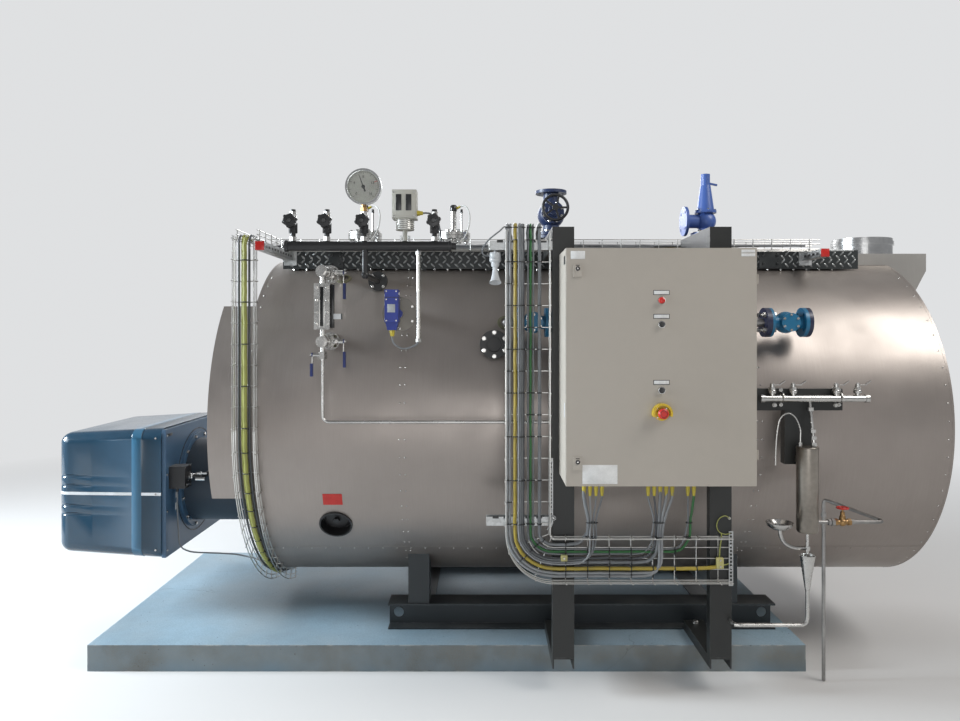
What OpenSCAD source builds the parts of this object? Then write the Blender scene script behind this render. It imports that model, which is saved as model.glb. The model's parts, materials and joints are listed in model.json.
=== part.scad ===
// Three-pass steam boiler on a concrete plinth, with its burner, fittings and control cabinet.
// X runs along the boiler from burner to flue, Y to the back, Z up. Origin: floor, plinth centre.

/* [Plinth] */
// Length of the concrete plinth
plinth_l = 3550; // [3400:10:4200]
// Width of the plinth
plinth_w = 1550; // [1500:10:1900]
// Height of the plinth
plinth_h = 130; // [80:5:250]

/* [Shell] */
// Outer radius of the cladding
shell_r = 890; // [860:5:920]
// Length of the clad barrel
shell_l = 3420; // [3400:10:3600]
// Place of the front end along X
shell_front = -980; // [-1000:5:-960]
// Air between plinth and cladding
shell_clear = 185; // [170:5:220]
// Insulation and cladding together
shell_wall = 60; // [40:5:90]
// Thickness of the end plates
end_t = 12; // [8:1:20]
// Length of the front cladding sheet
sheet_front_l = 773; // [760:1:800]
// Length of the middle cladding sheet
sheet_middle_l = 1713; // [1700:1:1730]
// How much the outer sheets sit below the middle one
sheet_lap = 0.6; // [0.4:0.1:0.8]

/* [Smoke box and burner] */
// Depth of the front smoke box
box_d = 161; // [150:1:175]
// Flat top of the smoke box above the boiler axis
box_top = 603; // [580:1:620]
// Flat underside of the smoke box below the boiler axis
box_low = 340; // [320:1:360]
// Height of the burner axis below the boiler axis
burner_drop = 400; // [390:1:410]
// Radius of the burner tube
burner_r = 240; // [225:1:250]
// Distance from boiler front to burner panel
burner_gap = 570; // [560:1:600]
// Length of the burner hood
hood_l = 579; // [560:1:620]
// Width of the burner hood
hood_w = 900; // [880:5:940]
// Height of the hood at the panel
hood_h = 705; // [690:1:720]
// Height of the hood at its nose
hood_nose_h = 618; // [600:1:640]
// Corner radius of the hood
hood_round = 70; // [50:1:80]

/* [Skid] */
// Height of the skid beams
beam_h = 133; // [120:1:150]
// Flange width of the skid beams
beam_b = 140; // [120:2:150]
// Half distance between the skid beams
beam_y = 510; // [490:5:520]
// Length of the skid beams
beam_l = 2014; // [1980:2:2060]
// Place of the beams' front end
beam_x0 = -314; // [-330:1:-300]
// Width of a saddle leg
leg_w = 110; // [100:2:130]

/* [Walkway] */
// Length of the walkway deck
deck_l = 3143; // [3100:1:3160]
// Width of the walkway deck
deck_w = 760; // [740:2:780]
// Sheet thickness of the deck
deck_t = 5; // [4:0.5:6]
// Depth of the folded edge
deck_drop = 104; // [96:1:108]
// Height of the deck top above the shell
deck_rise = 30; // [28:1:36]

/* [Control frame] */
// Distance from shell to the front of the posts
post_gap = 145; // [140:1:160]
// Width of the channel posts
post_w = 100; // [90:2:110]
// Depth of the channel posts
post_d = 50; // [45:1:60]
// Web and flange thickness of the channels
post_t = 7; // [5:0.5:9]
// Height of the left post's centre line along X
post_left = 550; // [540:1:560]
// Centre distance of the two posts
post_span = 723; // [710:1:740]
// Height of the frame top above the walkway
frame_rise = 36; // [30:1:45]

/* [Cabinet] */
// Width of the cabinet
cab_w = 800; // [780:5:820]
// Height of the cabinet
cab_h = 1000; // [980:5:1020]
// Depth of the cabinet with its door
cab_d = 300; // [280:5:320]
// Left side of the cabinet
cab_x = 530; // [520:1:535]
// Underside of the cabinet
cab_z = 1030; // [1010:1:1040]
// Sheet of the cabinet body
cab_t = 3; // [2:0.5:4]
// Thickness of the folded door
door_t = 18; // [16:1:20]
// Air between body and door
door_gap = 7; // [6:0.5:9]

/* [Wire trays] */
// Wire diameter of the basket trays
wire_d = 5; // [4:0.5:6]
// Spacing of the cross wires
tray_pitch = 100; // [90:5:120]
// Spacing of the long wires
tray_mesh = 50; // [40:5:55]
// Depth of the trays
tray_h = 55; // [50:1:60]
// Width of the riser and of the lower tray
tray_w = 200; // [200:5:220]
// Width of the rim tray and of the top tray
tray_small_w = 100; // [90:5:105]
// Inner radius of the flat tray bend
tray_bend_r = 20; // [18:1:30]
// Diameter of a control cable
cable_d = 11; // [8:0.5:12]

/* [Fittings] */
// Diameter of the pressure gauge case
gauge_d = 160; // [140:5:180]
// Diameter of the steam valve's handwheel
wheel_d = 156; // [140:2:170]
// Diameter of the flanges of the steam valve
steam_flange_d = 185; // [180:1:190]
// Bolt circle of the steam outlet
steam_pcd = 145; // [140:1:148]
// Diameter of the feed line flanges
feed_flange_d = 140; // [135:1:145]
// Bolt circle of the feed inlet
feed_pcd = 100; // [98:1:104]
// Radius of the flue collar
flue_r = 165; // [155:1:175]
// Length of a water gauge lever
lever_l = 125; // [110:1:140]
// Height of the feed pipe above the boiler axis
feed_dz = 518; // [500:1:540]

/* [Hidden] */
$fn = 48;

seat = 0.3;
axis_z = plinth_h + shell_clear + shell_r;
crown_z = axis_z + shell_r;
shell_back = shell_front + shell_l;
beam_top = plinth_h + beam_h;
deck_z = crown_z + deck_rise;
frame_h = deck_z + frame_rise;
deck_x0 = shell_front + 66;
deck_y = deck_w / 2;
post_y = -(shell_r + post_gap);
post_back = post_y + post_d;
post_right = post_left + post_span;
cab_back = post_y;
cab_front = cab_back - cab_d;
body_front = cab_front + door_t + door_gap;
burner_z = axis_z - burner_drop;
burner_x = shell_front - burner_gap;
wire_lap = wire_d - 1;
rim_r = shell_r + 10;
rim_x = shell_front + 30;
rim_top = crown_z + 39;
rim_sweep = 82;

// How far the shell's skin is from the axis plane at a height above the boiler axis
function skin(dz) = sqrt(shell_r * shell_r - dz * dz);

module pipe_x(x0, x1, y, z, d) {
    translate([min(x0, x1), y, z]) rotate([0, 90, 0]) cylinder(h = abs(x1 - x0), d = d);
}

module pipe_y(y0, y1, x, z, d) {
    translate([x, max(y0, y1), z]) rotate([90, 0, 0]) cylinder(h = abs(y1 - y0), d = d);
}

module pipe_z(z0, z1, x, y, d) {
    translate([x, y, min(z0, z1)]) cylinder(h = abs(z1 - z0), d = d);
}

// A bend from local +X round to local +Y
module bend(r, d, angle = 90) {
    rotate_extrude(angle = angle) translate([r, 0]) circle(d = d);
}

// Turns a drawing so that its own +Z looks to the front, towards -Y
module facing_front(x, y, z) {
    translate([x, y, z]) rotate([90, 0, 0]) children();
}

module flange(d, t, pcd, holes, hole_d) {
    difference() {
        cylinder(h = t, d = d);
        for (i = [0 : holes - 1])
            rotate(360 / holes * (i + 0.5)) translate([pcd / 2, 0, -1]) cylinder(h = t + 2, d = hole_d);
    }
}

// A hexagon as a bolt head or a nut
module hex(w, h) {
    cylinder(h = h, d = w / cos(30), $fn = 6);
}

// Channel section drawn with its web along X and its flanges towards +Y
module channel_section(w, d, t) {
    difference() {
        translate([-w / 2, 0]) square([w, d]);
        translate([-w / 2 + t, t]) square([w - 2 * t, d]);
    }
}

module plinth() {
    color("gray")
    translate([-plinth_l / 2, -plinth_w / 2, 0])
    cube([plinth_l, plinth_w, plinth_h]);
}

beam_web = 6;
beam_flange = 9;
lift_hole_d = 52;
leg_x1 = -155;
leg_x2 = 1450;
leg_t = 10;
leg_depth = 120;

module skid_beam() {
    difference() {
        union() {
            for (z = [0, beam_h - beam_flange])
                translate([0, -beam_b / 2, z]) cube([beam_l, beam_b, beam_flange]);
            translate([0, -beam_web / 2, beam_flange])
            cube([beam_l, beam_web, beam_h - 2 * beam_flange]);
        }
        for (x = [48, beam_l - 48])
            translate([x, beam_web, beam_h / 2])
            rotate([90, 0, 0])
            cylinder(h = 2 * beam_web, d = lift_hole_d);
    }
}

// A folded leg between a beam and the shell, its top cut to the shell's curve
module saddle_leg(x) {
    difference() {
        translate([x, 0, beam_top])
        for (side = [-1, 1])
            translate([0, side * beam_y, 0])
            linear_extrude(shell_clear + shell_r)
            translate([0, -leg_depth / 2])
            channel_section(leg_w, leg_depth, leg_t);
        translate([x - leg_w, 0, axis_z])
        rotate([0, 90, 0])
        cylinder(h = 2 * leg_w, r = shell_r + seat, $fn = 240);
        translate([x - leg_w, -plinth_w, axis_z - shell_r / 2])
        cube([2 * leg_w, 2 * plinth_w, 2 * shell_r]);
    }
}

module skid() {
    color("dimgray") {
        for (side = [-1, 1])
            translate([beam_x0, side * beam_y, plinth_h]) skid_beam();
        for (x = [leg_x1, leg_x2]) {
            saddle_leg(x);
            translate([x - leg_w / 2, -beam_y + beam_b / 2, plinth_h])
            cube([leg_w, 2 * beam_y - beam_b, beam_flange]);
        }
    }
}

// One sheet of the insulated barrel, from x0 along X
module barrel(x0, l, r) {
    translate([x0, 0, axis_z])
    rotate([0, 90, 0])
    difference() {
        cylinder(h = l, r = r, $fn = 120);
        translate([0, 0, -1]) cylinder(h = l + 2, r = shell_r - shell_wall, $fn = 120);
    }
}

// The room the barrel takes with a hair of air round it, cut from what ends on its skin
module barrel_room() {
    translate([shell_front, 0, axis_z])
    rotate([0, 90, 0])
    cylinder(h = shell_l, r = shell_r + seat, $fn = 240);
}

module pressure_vessel() {
    color("sienna")
    difference() {
        translate([shell_front + end_t + seat, 0, axis_z])
        rotate([0, 90, 0])
        cylinder(h = shell_l - 2 * end_t - 2 * seat, r = shell_r - shell_wall - seat, $fn = 120);
        pipe_x(shell_front, shell_front + tube_in + 1, 0, burner_z, 2 * burner_r + 2 * seat);
    }
}

hand_x = -552;
hand_r = 83;
hand_turn = 33;
side_x = 235;
side_dz = 412;
seam_1 = shell_front + sheet_front_l;
seam_2 = seam_1 + sheet_middle_l;

// Stands its children on the axis of the hand hole, which points out and down
module at_hand_hole() {
    translate([hand_x, 0, axis_z]) rotate([90 + hand_turn, 0, 0]) children();
}

module shell_front_sheet() {
    color("tan")
    difference() {
        barrel(shell_front + end_t, sheet_front_l - end_t, shell_r - sheet_lap);
        at_hand_hole() cylinder(h = shell_r + shell_wall, r = hand_r);
    }
}

module shell_middle_sheet() {
    color("tan") barrel(seam_1, sheet_middle_l, shell_r);
}

module shell_rear_sheet() {
    color("tan") barrel(seam_2, shell_back - end_t - seam_2, shell_r - sheet_lap);
}

module front_plate() {
    color("tan")
    difference() {
        translate([shell_front, 0, axis_z]) rotate([0, 90, 0]) cylinder(h = end_t, r = shell_r, $fn = 120);
        pipe_x(shell_front - 1, shell_front + end_t + 1, 0, burner_z, 2 * burner_r + 2 * seat);
    }
}

rear_port_r = 210;

module rear_plate() {
    color("tan") {
        translate([shell_back - end_t, 0, axis_z])
        rotate([0, 90, 0])
        cylinder(h = end_t, r = shell_r, $fn = 120);
        translate([shell_back, 0, burner_z]) rotate([0, 90, 0]) cylinder(h = 24, r = rear_port_r);
        for (a = [30 : 60 : 330])
            translate([shell_back + 24, 0, burner_z])
            rotate([a, 0, 0])
            translate([0, rear_port_r - 25, 0])
            rotate([0, 90, 0])
            hex(24, 12);
    }
}

notch_r = burner_r + 60;

module smoke_box() {
    color("rosybrown")
    difference() {
        translate([shell_front - box_d, 0, axis_z])
        rotate([0, 90, 0])
        cylinder(h = box_d, r = shell_r, $fn = 120);
        translate([shell_front - box_d - 1, -shell_r, axis_z + box_top])
        cube([box_d + 2, 2 * shell_r, shell_r]);
        translate([shell_front - box_d - 1, -shell_r, axis_z - box_low - shell_r])
        cube([box_d + 2, 2 * shell_r, shell_r]);
        pipe_x(shell_front - box_d - 1, shell_front + 1, 0, burner_z, 2 * notch_r);
    }
}

module shell_fittings() {
    color("black") {
        at_hand_hole() {
            translate([0, 0, shell_r - shell_wall + seat])
            difference() {
                cylinder(h = shell_wall + 6, r = hand_r - seat);
                translate([0, 0, 12]) cylinder(h = shell_wall, r = hand_r - 8);
            }
            translate([0, 0, shell_r - shell_wall + 12]) cylinder(h = 16, r = hand_r - 30);
            translate([0, 0, shell_r - shell_wall + 28]) hex(30, 14);
        }
        difference() {
            translate([side_x, -skin(side_dz) + 20, axis_z + side_dz])
            rotate([90, 0, 0])
            difference() {
                union() {
                    cylinder(h = 75, d = 92);
                    translate([0, 0, 57]) cylinder(h = 18, d = 140);
                }
                translate([0, 0, 45]) cylinder(h = 60, d = 76);
            }
            barrel_room();
        }
    }
}

tube_in = 90;
panel_t = 22;
panel_r = burner_r + 6;

module burner_tube() {
    color("dimgray") {
        difference() {
            pipe_x(burner_x, shell_front + tube_in, 0, burner_z, 2 * burner_r);
            pipe_x(burner_x + panel_t, shell_front + tube_in + 1, 0, burner_z, 2 * burner_r - 24);
        }
        difference() {
            pipe_x(shell_front - 22, shell_front - seat, 0, burner_z, 2 * notch_r - 20);
            pipe_x(shell_front - 30, shell_front, 0, burner_z, 2 * burner_r - 2);
        }
    }
}

// Side view of the hood as a plain outline with round nose corners
module hood_side(grow = 0) {
    low = burner_z - hood_h / 2;
    nose_low = burner_z - hood_nose_h / 2;
    r = hood_round;
    hull() {
        translate([burner_x - hood_l + r, nose_low + r]) circle(r = r + grow);
        translate([burner_x - hood_l + r, nose_low + hood_nose_h - r]) circle(r = r + grow);
        translate([burner_x - 20, low - grow]) square([20, hood_h + 2 * grow]);
    }
}

module hood_block(grow = 0) {
    intersection() {
        translate([0, hood_w / 2 + grow, 0])
        rotate([90, 0, 0])
        linear_extrude(hood_w + 2 * grow)
        hood_side(grow);
        translate([0, 0, burner_z - hood_h])
        linear_extrude(2 * hood_h)
        hull() {
            for (side = [-1, 1])
                translate([burner_x - hood_l + hood_round, side * (hood_w / 2 - hood_round)])
                circle(r = hood_round + grow);
            translate([burner_x - 20, -hood_w / 2 - grow]) square([20, hood_w + 2 * grow]);
        }
    }
}

trim_z = burner_z;
trim_h = 9;

strap_x = burner_x - 135;
strap_w = 54;
groove_l = 195;
groove_zs = [burner_z + 93, burner_z + 42, burner_z - 66, burner_z - 112];

module burner_hood() {
    color("steelblue")
    difference() {
        union() {
            hood_block();
            intersection() {
                hood_block(2);
                translate([strap_x - strap_w / 2, -hood_w, burner_z - hood_h])
                cube([strap_w, 2 * hood_w, 2 * hood_h]);
            }
        }
        translate([burner_x - hood_l, -hood_w / 2 - 1, trim_z - trim_h / 2])
        difference() {
            translate([-10, -10, 0]) cube([hood_l + 20, hood_w + 22, trim_h]);
            translate([3, 4, -1]) cube([hood_l, hood_w - 6, trim_h + 2]);
        }
        for (z = groove_zs)
            for (side = [-1, 1])
                translate([burner_x - hood_l + 8, side * (hood_w / 2 - 3) - 6, z - 9])
                cube([groove_l, 12, 18]);
    }
}

module burner_panel() {
    color("midnightblue") {
        difference() {
            translate([burner_x, -hood_w / 2 + 8, burner_z - hood_h / 2 + 8])
            cube([panel_t, hood_w - 16, hood_h - 16]);
            pipe_x(burner_x - 1, burner_x + panel_t + 1, 0, burner_z, 2 * burner_r + 2 * seat);
        }
        difference() {
            pipe_x(burner_x + panel_t, burner_x + panel_t + 14, 0, burner_z, 2 * panel_r + 60);
            pipe_x(burner_x, burner_x + panel_t + 20, 0, burner_z, 2 * burner_r + 2 * seat);
        }
    }
}

act_y = -hood_w / 2 + 90;

module burner_actuator() {
    color("black") {
        translate([burner_x + panel_t, act_y - 45, burner_z + 20]) cube([88, 90, 120]);
        pipe_x(burner_x + panel_t + 88, burner_x + panel_t + 100, act_y, burner_z + 80, 50);
        pipe_x(burner_x + panel_t + 100, burner_x + panel_t + 168, act_y, burner_z + 80, 16);
        translate([burner_x + panel_t + 158, act_y - 8, burner_z + 68]) cube([10, 120, 24]);
    }
}

hood_x0 = shell_back - 220;
hood_x1 = shell_back + 220;
hood_top = crown_z + 20;
hood_half = 280;
hood_edge = 95;

module flue_hood() {
    color("tan")
    difference() {
        translate([0, hood_half, 0])
        rotate([90, 0, 0])
        linear_extrude(2 * hood_half)
        polygon([
            [hood_x0, axis_z + shell_r / 2], [shell_back, axis_z + shell_r * 0.444],
            [hood_x1, hood_top - hood_edge], [hood_x1, hood_top], [hood_x0, hood_top]
        ]);
        pipe_x(hood_x0 - 1, shell_back + seat, 0, axis_z, 2 * shell_r + 2 * seat);
    }
}

module flue_collar() {
    color("silver")
    translate([shell_back, 0, hood_top])
    difference() {
        union() {
            cylinder(h = 110, r = flue_r);
            cylinder(h = 8, r = flue_r + 30);
            translate([0, 0, 70]) cylinder(h = 24, r = flue_r + 6);
        }
        translate([0, 0, -1]) cylinder(h = 130, r = flue_r - 6);
    }
}

// Places of the stubs that come up through the deck, as X, Y and hole diameter
probe_x1 = -526;
probe_x2 = 2;
steam_x = 584;
safety_x = 1433;
safety_y = -250;
probe_d = 120;
steam_d = 110;
safety_d = 100;
deck_holes = [
    [probe_x1, 0, probe_d], [probe_x2, 0, probe_d], [steam_x, 0, steam_d], [safety_x, safety_y, safety_d]
];
deck_hole_air = 12;
foot_pitch = 350;

module walkway() {
    color("darkslategray") {
        difference() {
            translate([deck_x0, -deck_y, deck_z - deck_t]) cube([deck_l, deck_w, deck_t]);
            for (h = deck_holes)
                pipe_z(deck_z - deck_t - 1, deck_z + 1, h[0], h[1], h[2] + 2 * deck_hole_air);
            translate([hood_x0 - 10, -hood_half - 10, deck_z - deck_t - 1])
            cube([deck_l, 2 * hood_half + 20, deck_t + 2]);
        }
        for (side = [-1, 1]) {
            translate([deck_x0, side > 0 ? deck_y - deck_t : -deck_y, deck_z - deck_drop])
            cube([deck_l, deck_t, deck_drop - deck_t]);
            for (x = [deck_x0 + 60 : foot_pitch : deck_x0 + deck_l - 60])
                difference() {
                    translate([x, side * (deck_y - 20) - 15, deck_z - deck_drop - 40]) cube([24, 30, 60]);
                    pipe_x(x - 1, x + 30, 0, axis_z, 2 * shell_r + 2 * seat);
                }
        }
    }
}

strut = 41;
arm_x1 = rim_x + tray_small_w / 2 + wire_lap + wire_d / 2 + seat + strut / 2;
arm_x2 = 1939;
arm_z = deck_z - 40;
arm_l = 560;
arm_short_l = 240;
cap_t = 9;
riser_x = 285;
riser_low = cab_z - 270;
riser_top = deck_z + 12;
tray_floor_y = post_y - wire_lap - wire_d / 2 - seat;
strut_z1 = riser_low + 48;
strut_z2 = arm_z - 10;

// How far a strut reaches past the riser's free side: the upper one carries the horn
function strut_end(z) = z == strut_z1 ? 90 : 72;

// A slotted strut channel drawn along local Z, open towards local +Y
module strut_bar(l) {
    linear_extrude(l)
    difference() {
        translate([-strut / 2, -strut / 2]) square(strut);
        translate([-strut / 2 + 2.5, -strut / 2 + 2.5]) square([strut - 5, strut]);
    }
}

module tray_arm(x, l) {
    translate([x, -deck_y, arm_z]) rotate([90, 0, 0]) strut_bar(l);
    translate([x - 35, -deck_y - 6, arm_z - 45]) cube([70, 6, 90]);
}

module tray_arms() {
    color("silver") {
        tray_arm(arm_x1, arm_l);
        translate([arm_x1 - strut / 2 - wire_lap, -rim_r - tray_h / 2 - 5, arm_z - 15])
        cube([wire_lap + 1, 10, 30]);
        tray_arm(arm_x2, arm_short_l);
        for (z = [strut_z1, strut_z2])
            translate([riser_x - strut_end(z), post_y + strut / 2, z])
            rotate([0, 90, 0])
            rotate(90)
            strut_bar(post_left - post_w / 2 - seat - riser_x + strut_end(z));
    }
}

man_y = -shell_r - 100;
man_z = crown_z - 18;
man_x0 = -727;
man_x1 = 22;
man_d = 46;
stem_x = -368;
stem_d = 28;
stem_dz = 737;
gauge_x = -373;
gauge_z = man_z + 273;
valve_xs = [-703, -545, -373, -45];

module gauge_manifold() {
    color("black")
    difference() {
        union() {
            pipe_x(man_x0, man_x1, man_y, man_z, man_d);
            for (x = [man_x0 - 12, man_x1])
                pipe_x(x, x + 12, man_y, man_z, man_d + 8);
            pipe_x(man_x1 + 12, man_x1 + 34, man_y, man_z, man_d - 14);
            pipe_z(axis_z + stem_dz, man_z, stem_x, man_y, stem_d);
            translate([stem_x, man_y, axis_z + stem_dz]) sphere(d = stem_d + 8);
            pipe_y(-skin(stem_dz) + 20, man_y, stem_x, axis_z + stem_dz, stem_d);
            pipe_y(-skin(stem_dz) - 60, -skin(stem_dz) - 78, stem_x, axis_z + stem_dz, 100);
            pipe_y(-skin(stem_dz) + 20, -skin(stem_dz) - 62, stem_x, axis_z + stem_dz, 40);
        }
        barrel_room();
    }
}

knob_d = 58;
valve_rise = 110;

module manifold_valve(x) {
    pipe_z(man_z + man_d / 2, man_z + valve_rise + 60, x, man_y, 24);
    translate([x, man_y, man_z + 60]) hex(36, 46);
    pipe_y(man_y, man_y - 52, x, man_z + valve_rise, 20);
    pipe_y(man_y - 52, man_y - 72, x, man_z + valve_rise, knob_d);
}

module manifold_valves() {
    color("black") for (x = valve_xs) manifold_valve(x);
}

module pressure_gauge() {
    color("gainsboro") {
        pipe_z(man_z + valve_rise + 60, gauge_z - gauge_d / 2 + 10, gauge_x, man_y, 22);
        facing_front(gauge_x, man_y + 28, gauge_z)
        difference() {
            union() {
                cylinder(h = 52, d = gauge_d);
                translate([0, 0, 44]) cylinder(h = 10, d = gauge_d + 8);
            }
            translate([0, 0, 46]) cylinder(h = 20, d = gauge_d - 8);
        }
    }
}

switch_x = -238;
switch_w = 112;
switch_z = man_z + 123;
switch_h = 133;

module pressure_switch() {
    color("lightgray") {
        translate([switch_x, man_y - 40, switch_z]) cube([switch_w, 80, switch_h]);
        pipe_z(switch_z - 50, switch_z, switch_x + switch_w / 2, man_y, 84);
        pipe_z(man_z + man_d / 2, switch_z - 50, switch_x + switch_w / 2, man_y, 22);
    }
}

wg_x = -567;
wg_y = -shell_r - 90;
wg_top_dz = 755;
wg_low_dz = 427;
wg_w = 74;
wg_d = 75;
wg_valve_y = wg_y + 100;
wg_end = 57;

// One cock of the water gauge with its arm back to the shell
module gauge_cock(dz) {
    z = axis_z + dz;
    pipe_y(wg_y, -skin(dz) + 30, wg_x, z, 30);
    pipe_y(wg_y - 30, wg_y + 40, wg_x, z, 54);
    translate([wg_x, wg_y - 30, z]) rotate([90, 0, 0]) hex(36, 16);
    pipe_y(wg_valve_y - 36, wg_valve_y + 36, wg_x, z, 56);
    translate([wg_x, wg_y + 192, z]) rotate([90, 0, 0]) flange(88, 15, 62, 4, 18);
    pipe_x(wg_x, wg_x + 76, wg_valve_y, z, 24);
}

lever_x = wg_x + 76 + seat;

module water_gauge() {
    color("lightgray")
    difference() {
        union() {
            gauge_cock(wg_top_dz);
            gauge_cock(wg_low_dz);
            difference() {
                translate([wg_x - wg_w / 2, wg_y - 23, axis_z + wg_low_dz + wg_end])
                cube([wg_w, wg_d, wg_top_dz - wg_low_dz - 2 * wg_end]);
                translate([wg_x - 8, wg_y - 24, axis_z + wg_low_dz + wg_end + 16])
                cube([16, 10, wg_top_dz - wg_low_dz - 2 * wg_end - 32]);
            }
            pipe_z(axis_z + wg_low_dz, axis_z + wg_top_dz, wg_x, wg_y, 26);
            pipe_z(axis_z + wg_low_dz - 86, axis_z + wg_low_dz, wg_x, wg_y, 22);
            translate([wg_x, wg_y, axis_z + wg_low_dz - 80]) hex(36, 34);
            pipe_x(wg_x - 46, wg_x, wg_y, axis_z + wg_low_dz - 62, 18);
        }
        barrel_room();
    }
}

// A ball valve lever in its own frame: pivot at the origin along +X, blade hanging down
module drop_lever(l) {
    difference() {
        union() {
            rotate([0, 90, 0]) cylinder(h = 5, d = 22);
            translate([0, -8, -l * 0.45]) cube([4, 16, l * 0.45]);
            translate([0, -9, -l]) cube([12, 18, l * 0.6]);
        }
        translate([-1, 0, 0]) rotate([0, 90, 0]) cylinder(h = 8, d = 9);
    }
}

module lever_water_top() {
    color("dodgerblue") translate([lever_x, wg_valve_y, axis_z + wg_top_dz]) drop_lever(lever_l);
}

module lever_water_low() {
    color("dodgerblue") translate([lever_x, wg_valve_y, axis_z + wg_low_dz]) drop_lever(lever_l);
}

drain_lever_z = axis_z + wg_low_dz - 62;

module lever_water_drain() {
    color("dodgerblue")
    translate([wg_x - 46 - seat, wg_y, drain_lever_z])
    mirror([1, 0, 0])
    drop_lever(lever_l * 0.8);
}

drain_d = 14;
drain_top = axis_z + wg_low_dz - 86;
drain_low = axis_z + 52;
drain_r = 30;

module drain_pipe() {
    color("silver") {
        pipe_z(drain_low + drain_r, drain_top, wg_x, wg_y, drain_d);
        translate([wg_x + drain_r, wg_y, drain_low + drain_r])
        rotate([90, 0, 0])
        rotate(180)
        bend(drain_r, drain_d);
        pipe_x(wg_x + drain_r, post_left - post_w / 2 - seat, wg_y, drain_low, drain_d);
    }
}

lt_x = -219;
lt_dz = 559;
box_x = -275;
box_w = 62;
box_y = -shell_r - 75;

module level_transmitter() {
    color("royalblue") {
        difference() {
            union() {
                pipe_y(-skin(lt_dz) + 30, -shell_r + 20, lt_x, axis_z + lt_dz, 60);
                pipe_y(-shell_r + 20, -shell_r, lt_x, axis_z + lt_dz, 164);
            }
            barrel_room();
        }
        pipe_y(-shell_r, box_y + 30, lt_x, axis_z + lt_dz, 40);
        translate([box_x, box_y - 45, axis_z + lt_dz - 42]) cube([box_w, 80, 152]);
        translate([box_x + box_w / 2, box_y - 5, axis_z + lt_dz - 42])
        rotate([180, 0, 45])
        cylinder(h = 36, d1 = box_w * 1.3, d2 = box_w * 0.95, $fn = 4);
    }
}

probe_flange_z = deck_z + 100;

module level_probe(x) {
    pipe_z(crown_z - 20, probe_flange_z, x, 0, 80);
    translate([x, 0, probe_flange_z]) cylinder(h = 19.8, d = 200);
    translate([x, 0, probe_flange_z + 19.8]) cylinder(h = 1, d = 158);
    translate([x, 0, probe_flange_z + 20.8]) cylinder(h = 19.8, d = 200);
    pipe_z(probe_flange_z + 40, probe_flange_z + 110, x, 0, 56);
    pipe_z(probe_flange_z + 110, probe_flange_z + 190, x, 0, 84);
    translate([x, 0, probe_flange_z + 190]) cylinder(h = 25, d1 = 84, d2 = 40);
}

module level_probes() {
    color("gainsboro")
    difference() {
        union() {
            level_probe(probe_x1);
            level_probe(probe_x2);
        }
        barrel_room();
    }
}

steam_z = deck_z + 249;
steam_flange_t = 18;
steam_top = steam_z + 143;
steam_wheel_y = -300;

module steam_valve() {
    color("navy")
    difference() {
        union() {
            pipe_z(crown_z - 20, steam_z - 143, steam_x, 0, 76);
            translate([steam_x, 0, steam_z - 143]) cylinder(h = steam_flange_t - 1, d = steam_flange_d);
            translate([steam_x, 0, steam_z - 144 + steam_flange_t]) cylinder(h = 2, d = steam_pcd - 24);
            translate([steam_x, 0, steam_z - 142 + steam_flange_t])
            cylinder(h = steam_flange_t, d = steam_flange_d);
            pipe_z(steam_z - 110, steam_z + 110, steam_x, 0, 96);
            translate([steam_x, 0, steam_z]) sphere(d = 160);
            translate([steam_x, 0, steam_top - steam_flange_t])
            flange(steam_flange_d, steam_flange_t, steam_pcd, 8, 18);
            pipe_z(steam_z, steam_top - 12, steam_x, 0, 90);
            pipe_y(0, -120, steam_x, steam_z, 90);
            pipe_y(-110, -128, steam_x, steam_z, 130);
            pipe_y(-128, -150, steam_x, steam_z, 60);
            for (side = [-1, 1])
                translate([steam_x + side * 24 - 5, -230, steam_z - 9]) cube([10, 105, 18]);
            pipe_y(-222, -240, steam_x, steam_z, 66);
            pipe_y(-128, steam_wheel_y + 22 + seat, steam_x, steam_z, 20);
        }
        barrel_room();
        pipe_z(steam_top - 12, steam_top + 1, steam_x, 0, 65);
    }
}

module steam_wheel() {
    color("navy")
    facing_front(steam_x, steam_wheel_y + 22, steam_z) {
        translate([0, 0, 6]) rotate_extrude() translate([wheel_d / 2 - 8, 0]) circle(d = 16, $fn = 16);
        cylinder(h = 22, d = 34);
        for (a = [0 : 72 : 288])
            rotate(a) translate([10, -5, 1]) cube([wheel_d / 2 - 16, 10, 9]);
    }
}

safety_low = deck_z + 90;

module safety_valve() {
    color("mediumblue")
    difference() {
        union() {
            pipe_z(axis_z + shell_r * 0.9, safety_low, safety_x, safety_y, 60);
            translate([safety_x, safety_y, safety_low - 18]) cylinder(h = 17, d = 165);
            translate([safety_x, safety_y, safety_low - 1]) cylinder(h = 2, d = 100);
            translate([safety_x, safety_y, safety_low + 1]) cylinder(h = 17, d = 165);
            pipe_z(safety_low + 18, safety_low + 130, safety_x, safety_y, 80);
            translate([safety_x, safety_y, safety_low + 85]) sphere(d = 116);
            pipe_x(safety_x - 110, safety_x, safety_y, safety_low + 85, 76);
            translate([safety_x - 126, safety_y, safety_low + 85])
            rotate([0, 90, 0])
            flange(165, 16, 125, 4, 18);
            pipe_z(safety_low + 130, safety_low + 146, safety_x, safety_y, 120);
            translate([safety_x, safety_y, safety_low + 146]) cylinder(h = 140, d1 = 96, d2 = 56);
            pipe_z(safety_low + 286, safety_low + 350, safety_x, safety_y, 50);
            translate([safety_x - 10, safety_y - 6, safety_low + 300])
            rotate([0, 12, 0])
            cube([76, 12, 10]);
        }
        barrel_room();
    }
}

rail_h = 50;
top_beam_h = 100;
top_tray_z = deck_z - 8;
tray_air = 12;

// An upright channel with its web to the front
module post(x) {
    translate([x, post_y, plinth_h + rail_h])
    linear_extrude(frame_h - plinth_h - rail_h)
    channel_section(post_w, post_d, post_t);
}

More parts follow.
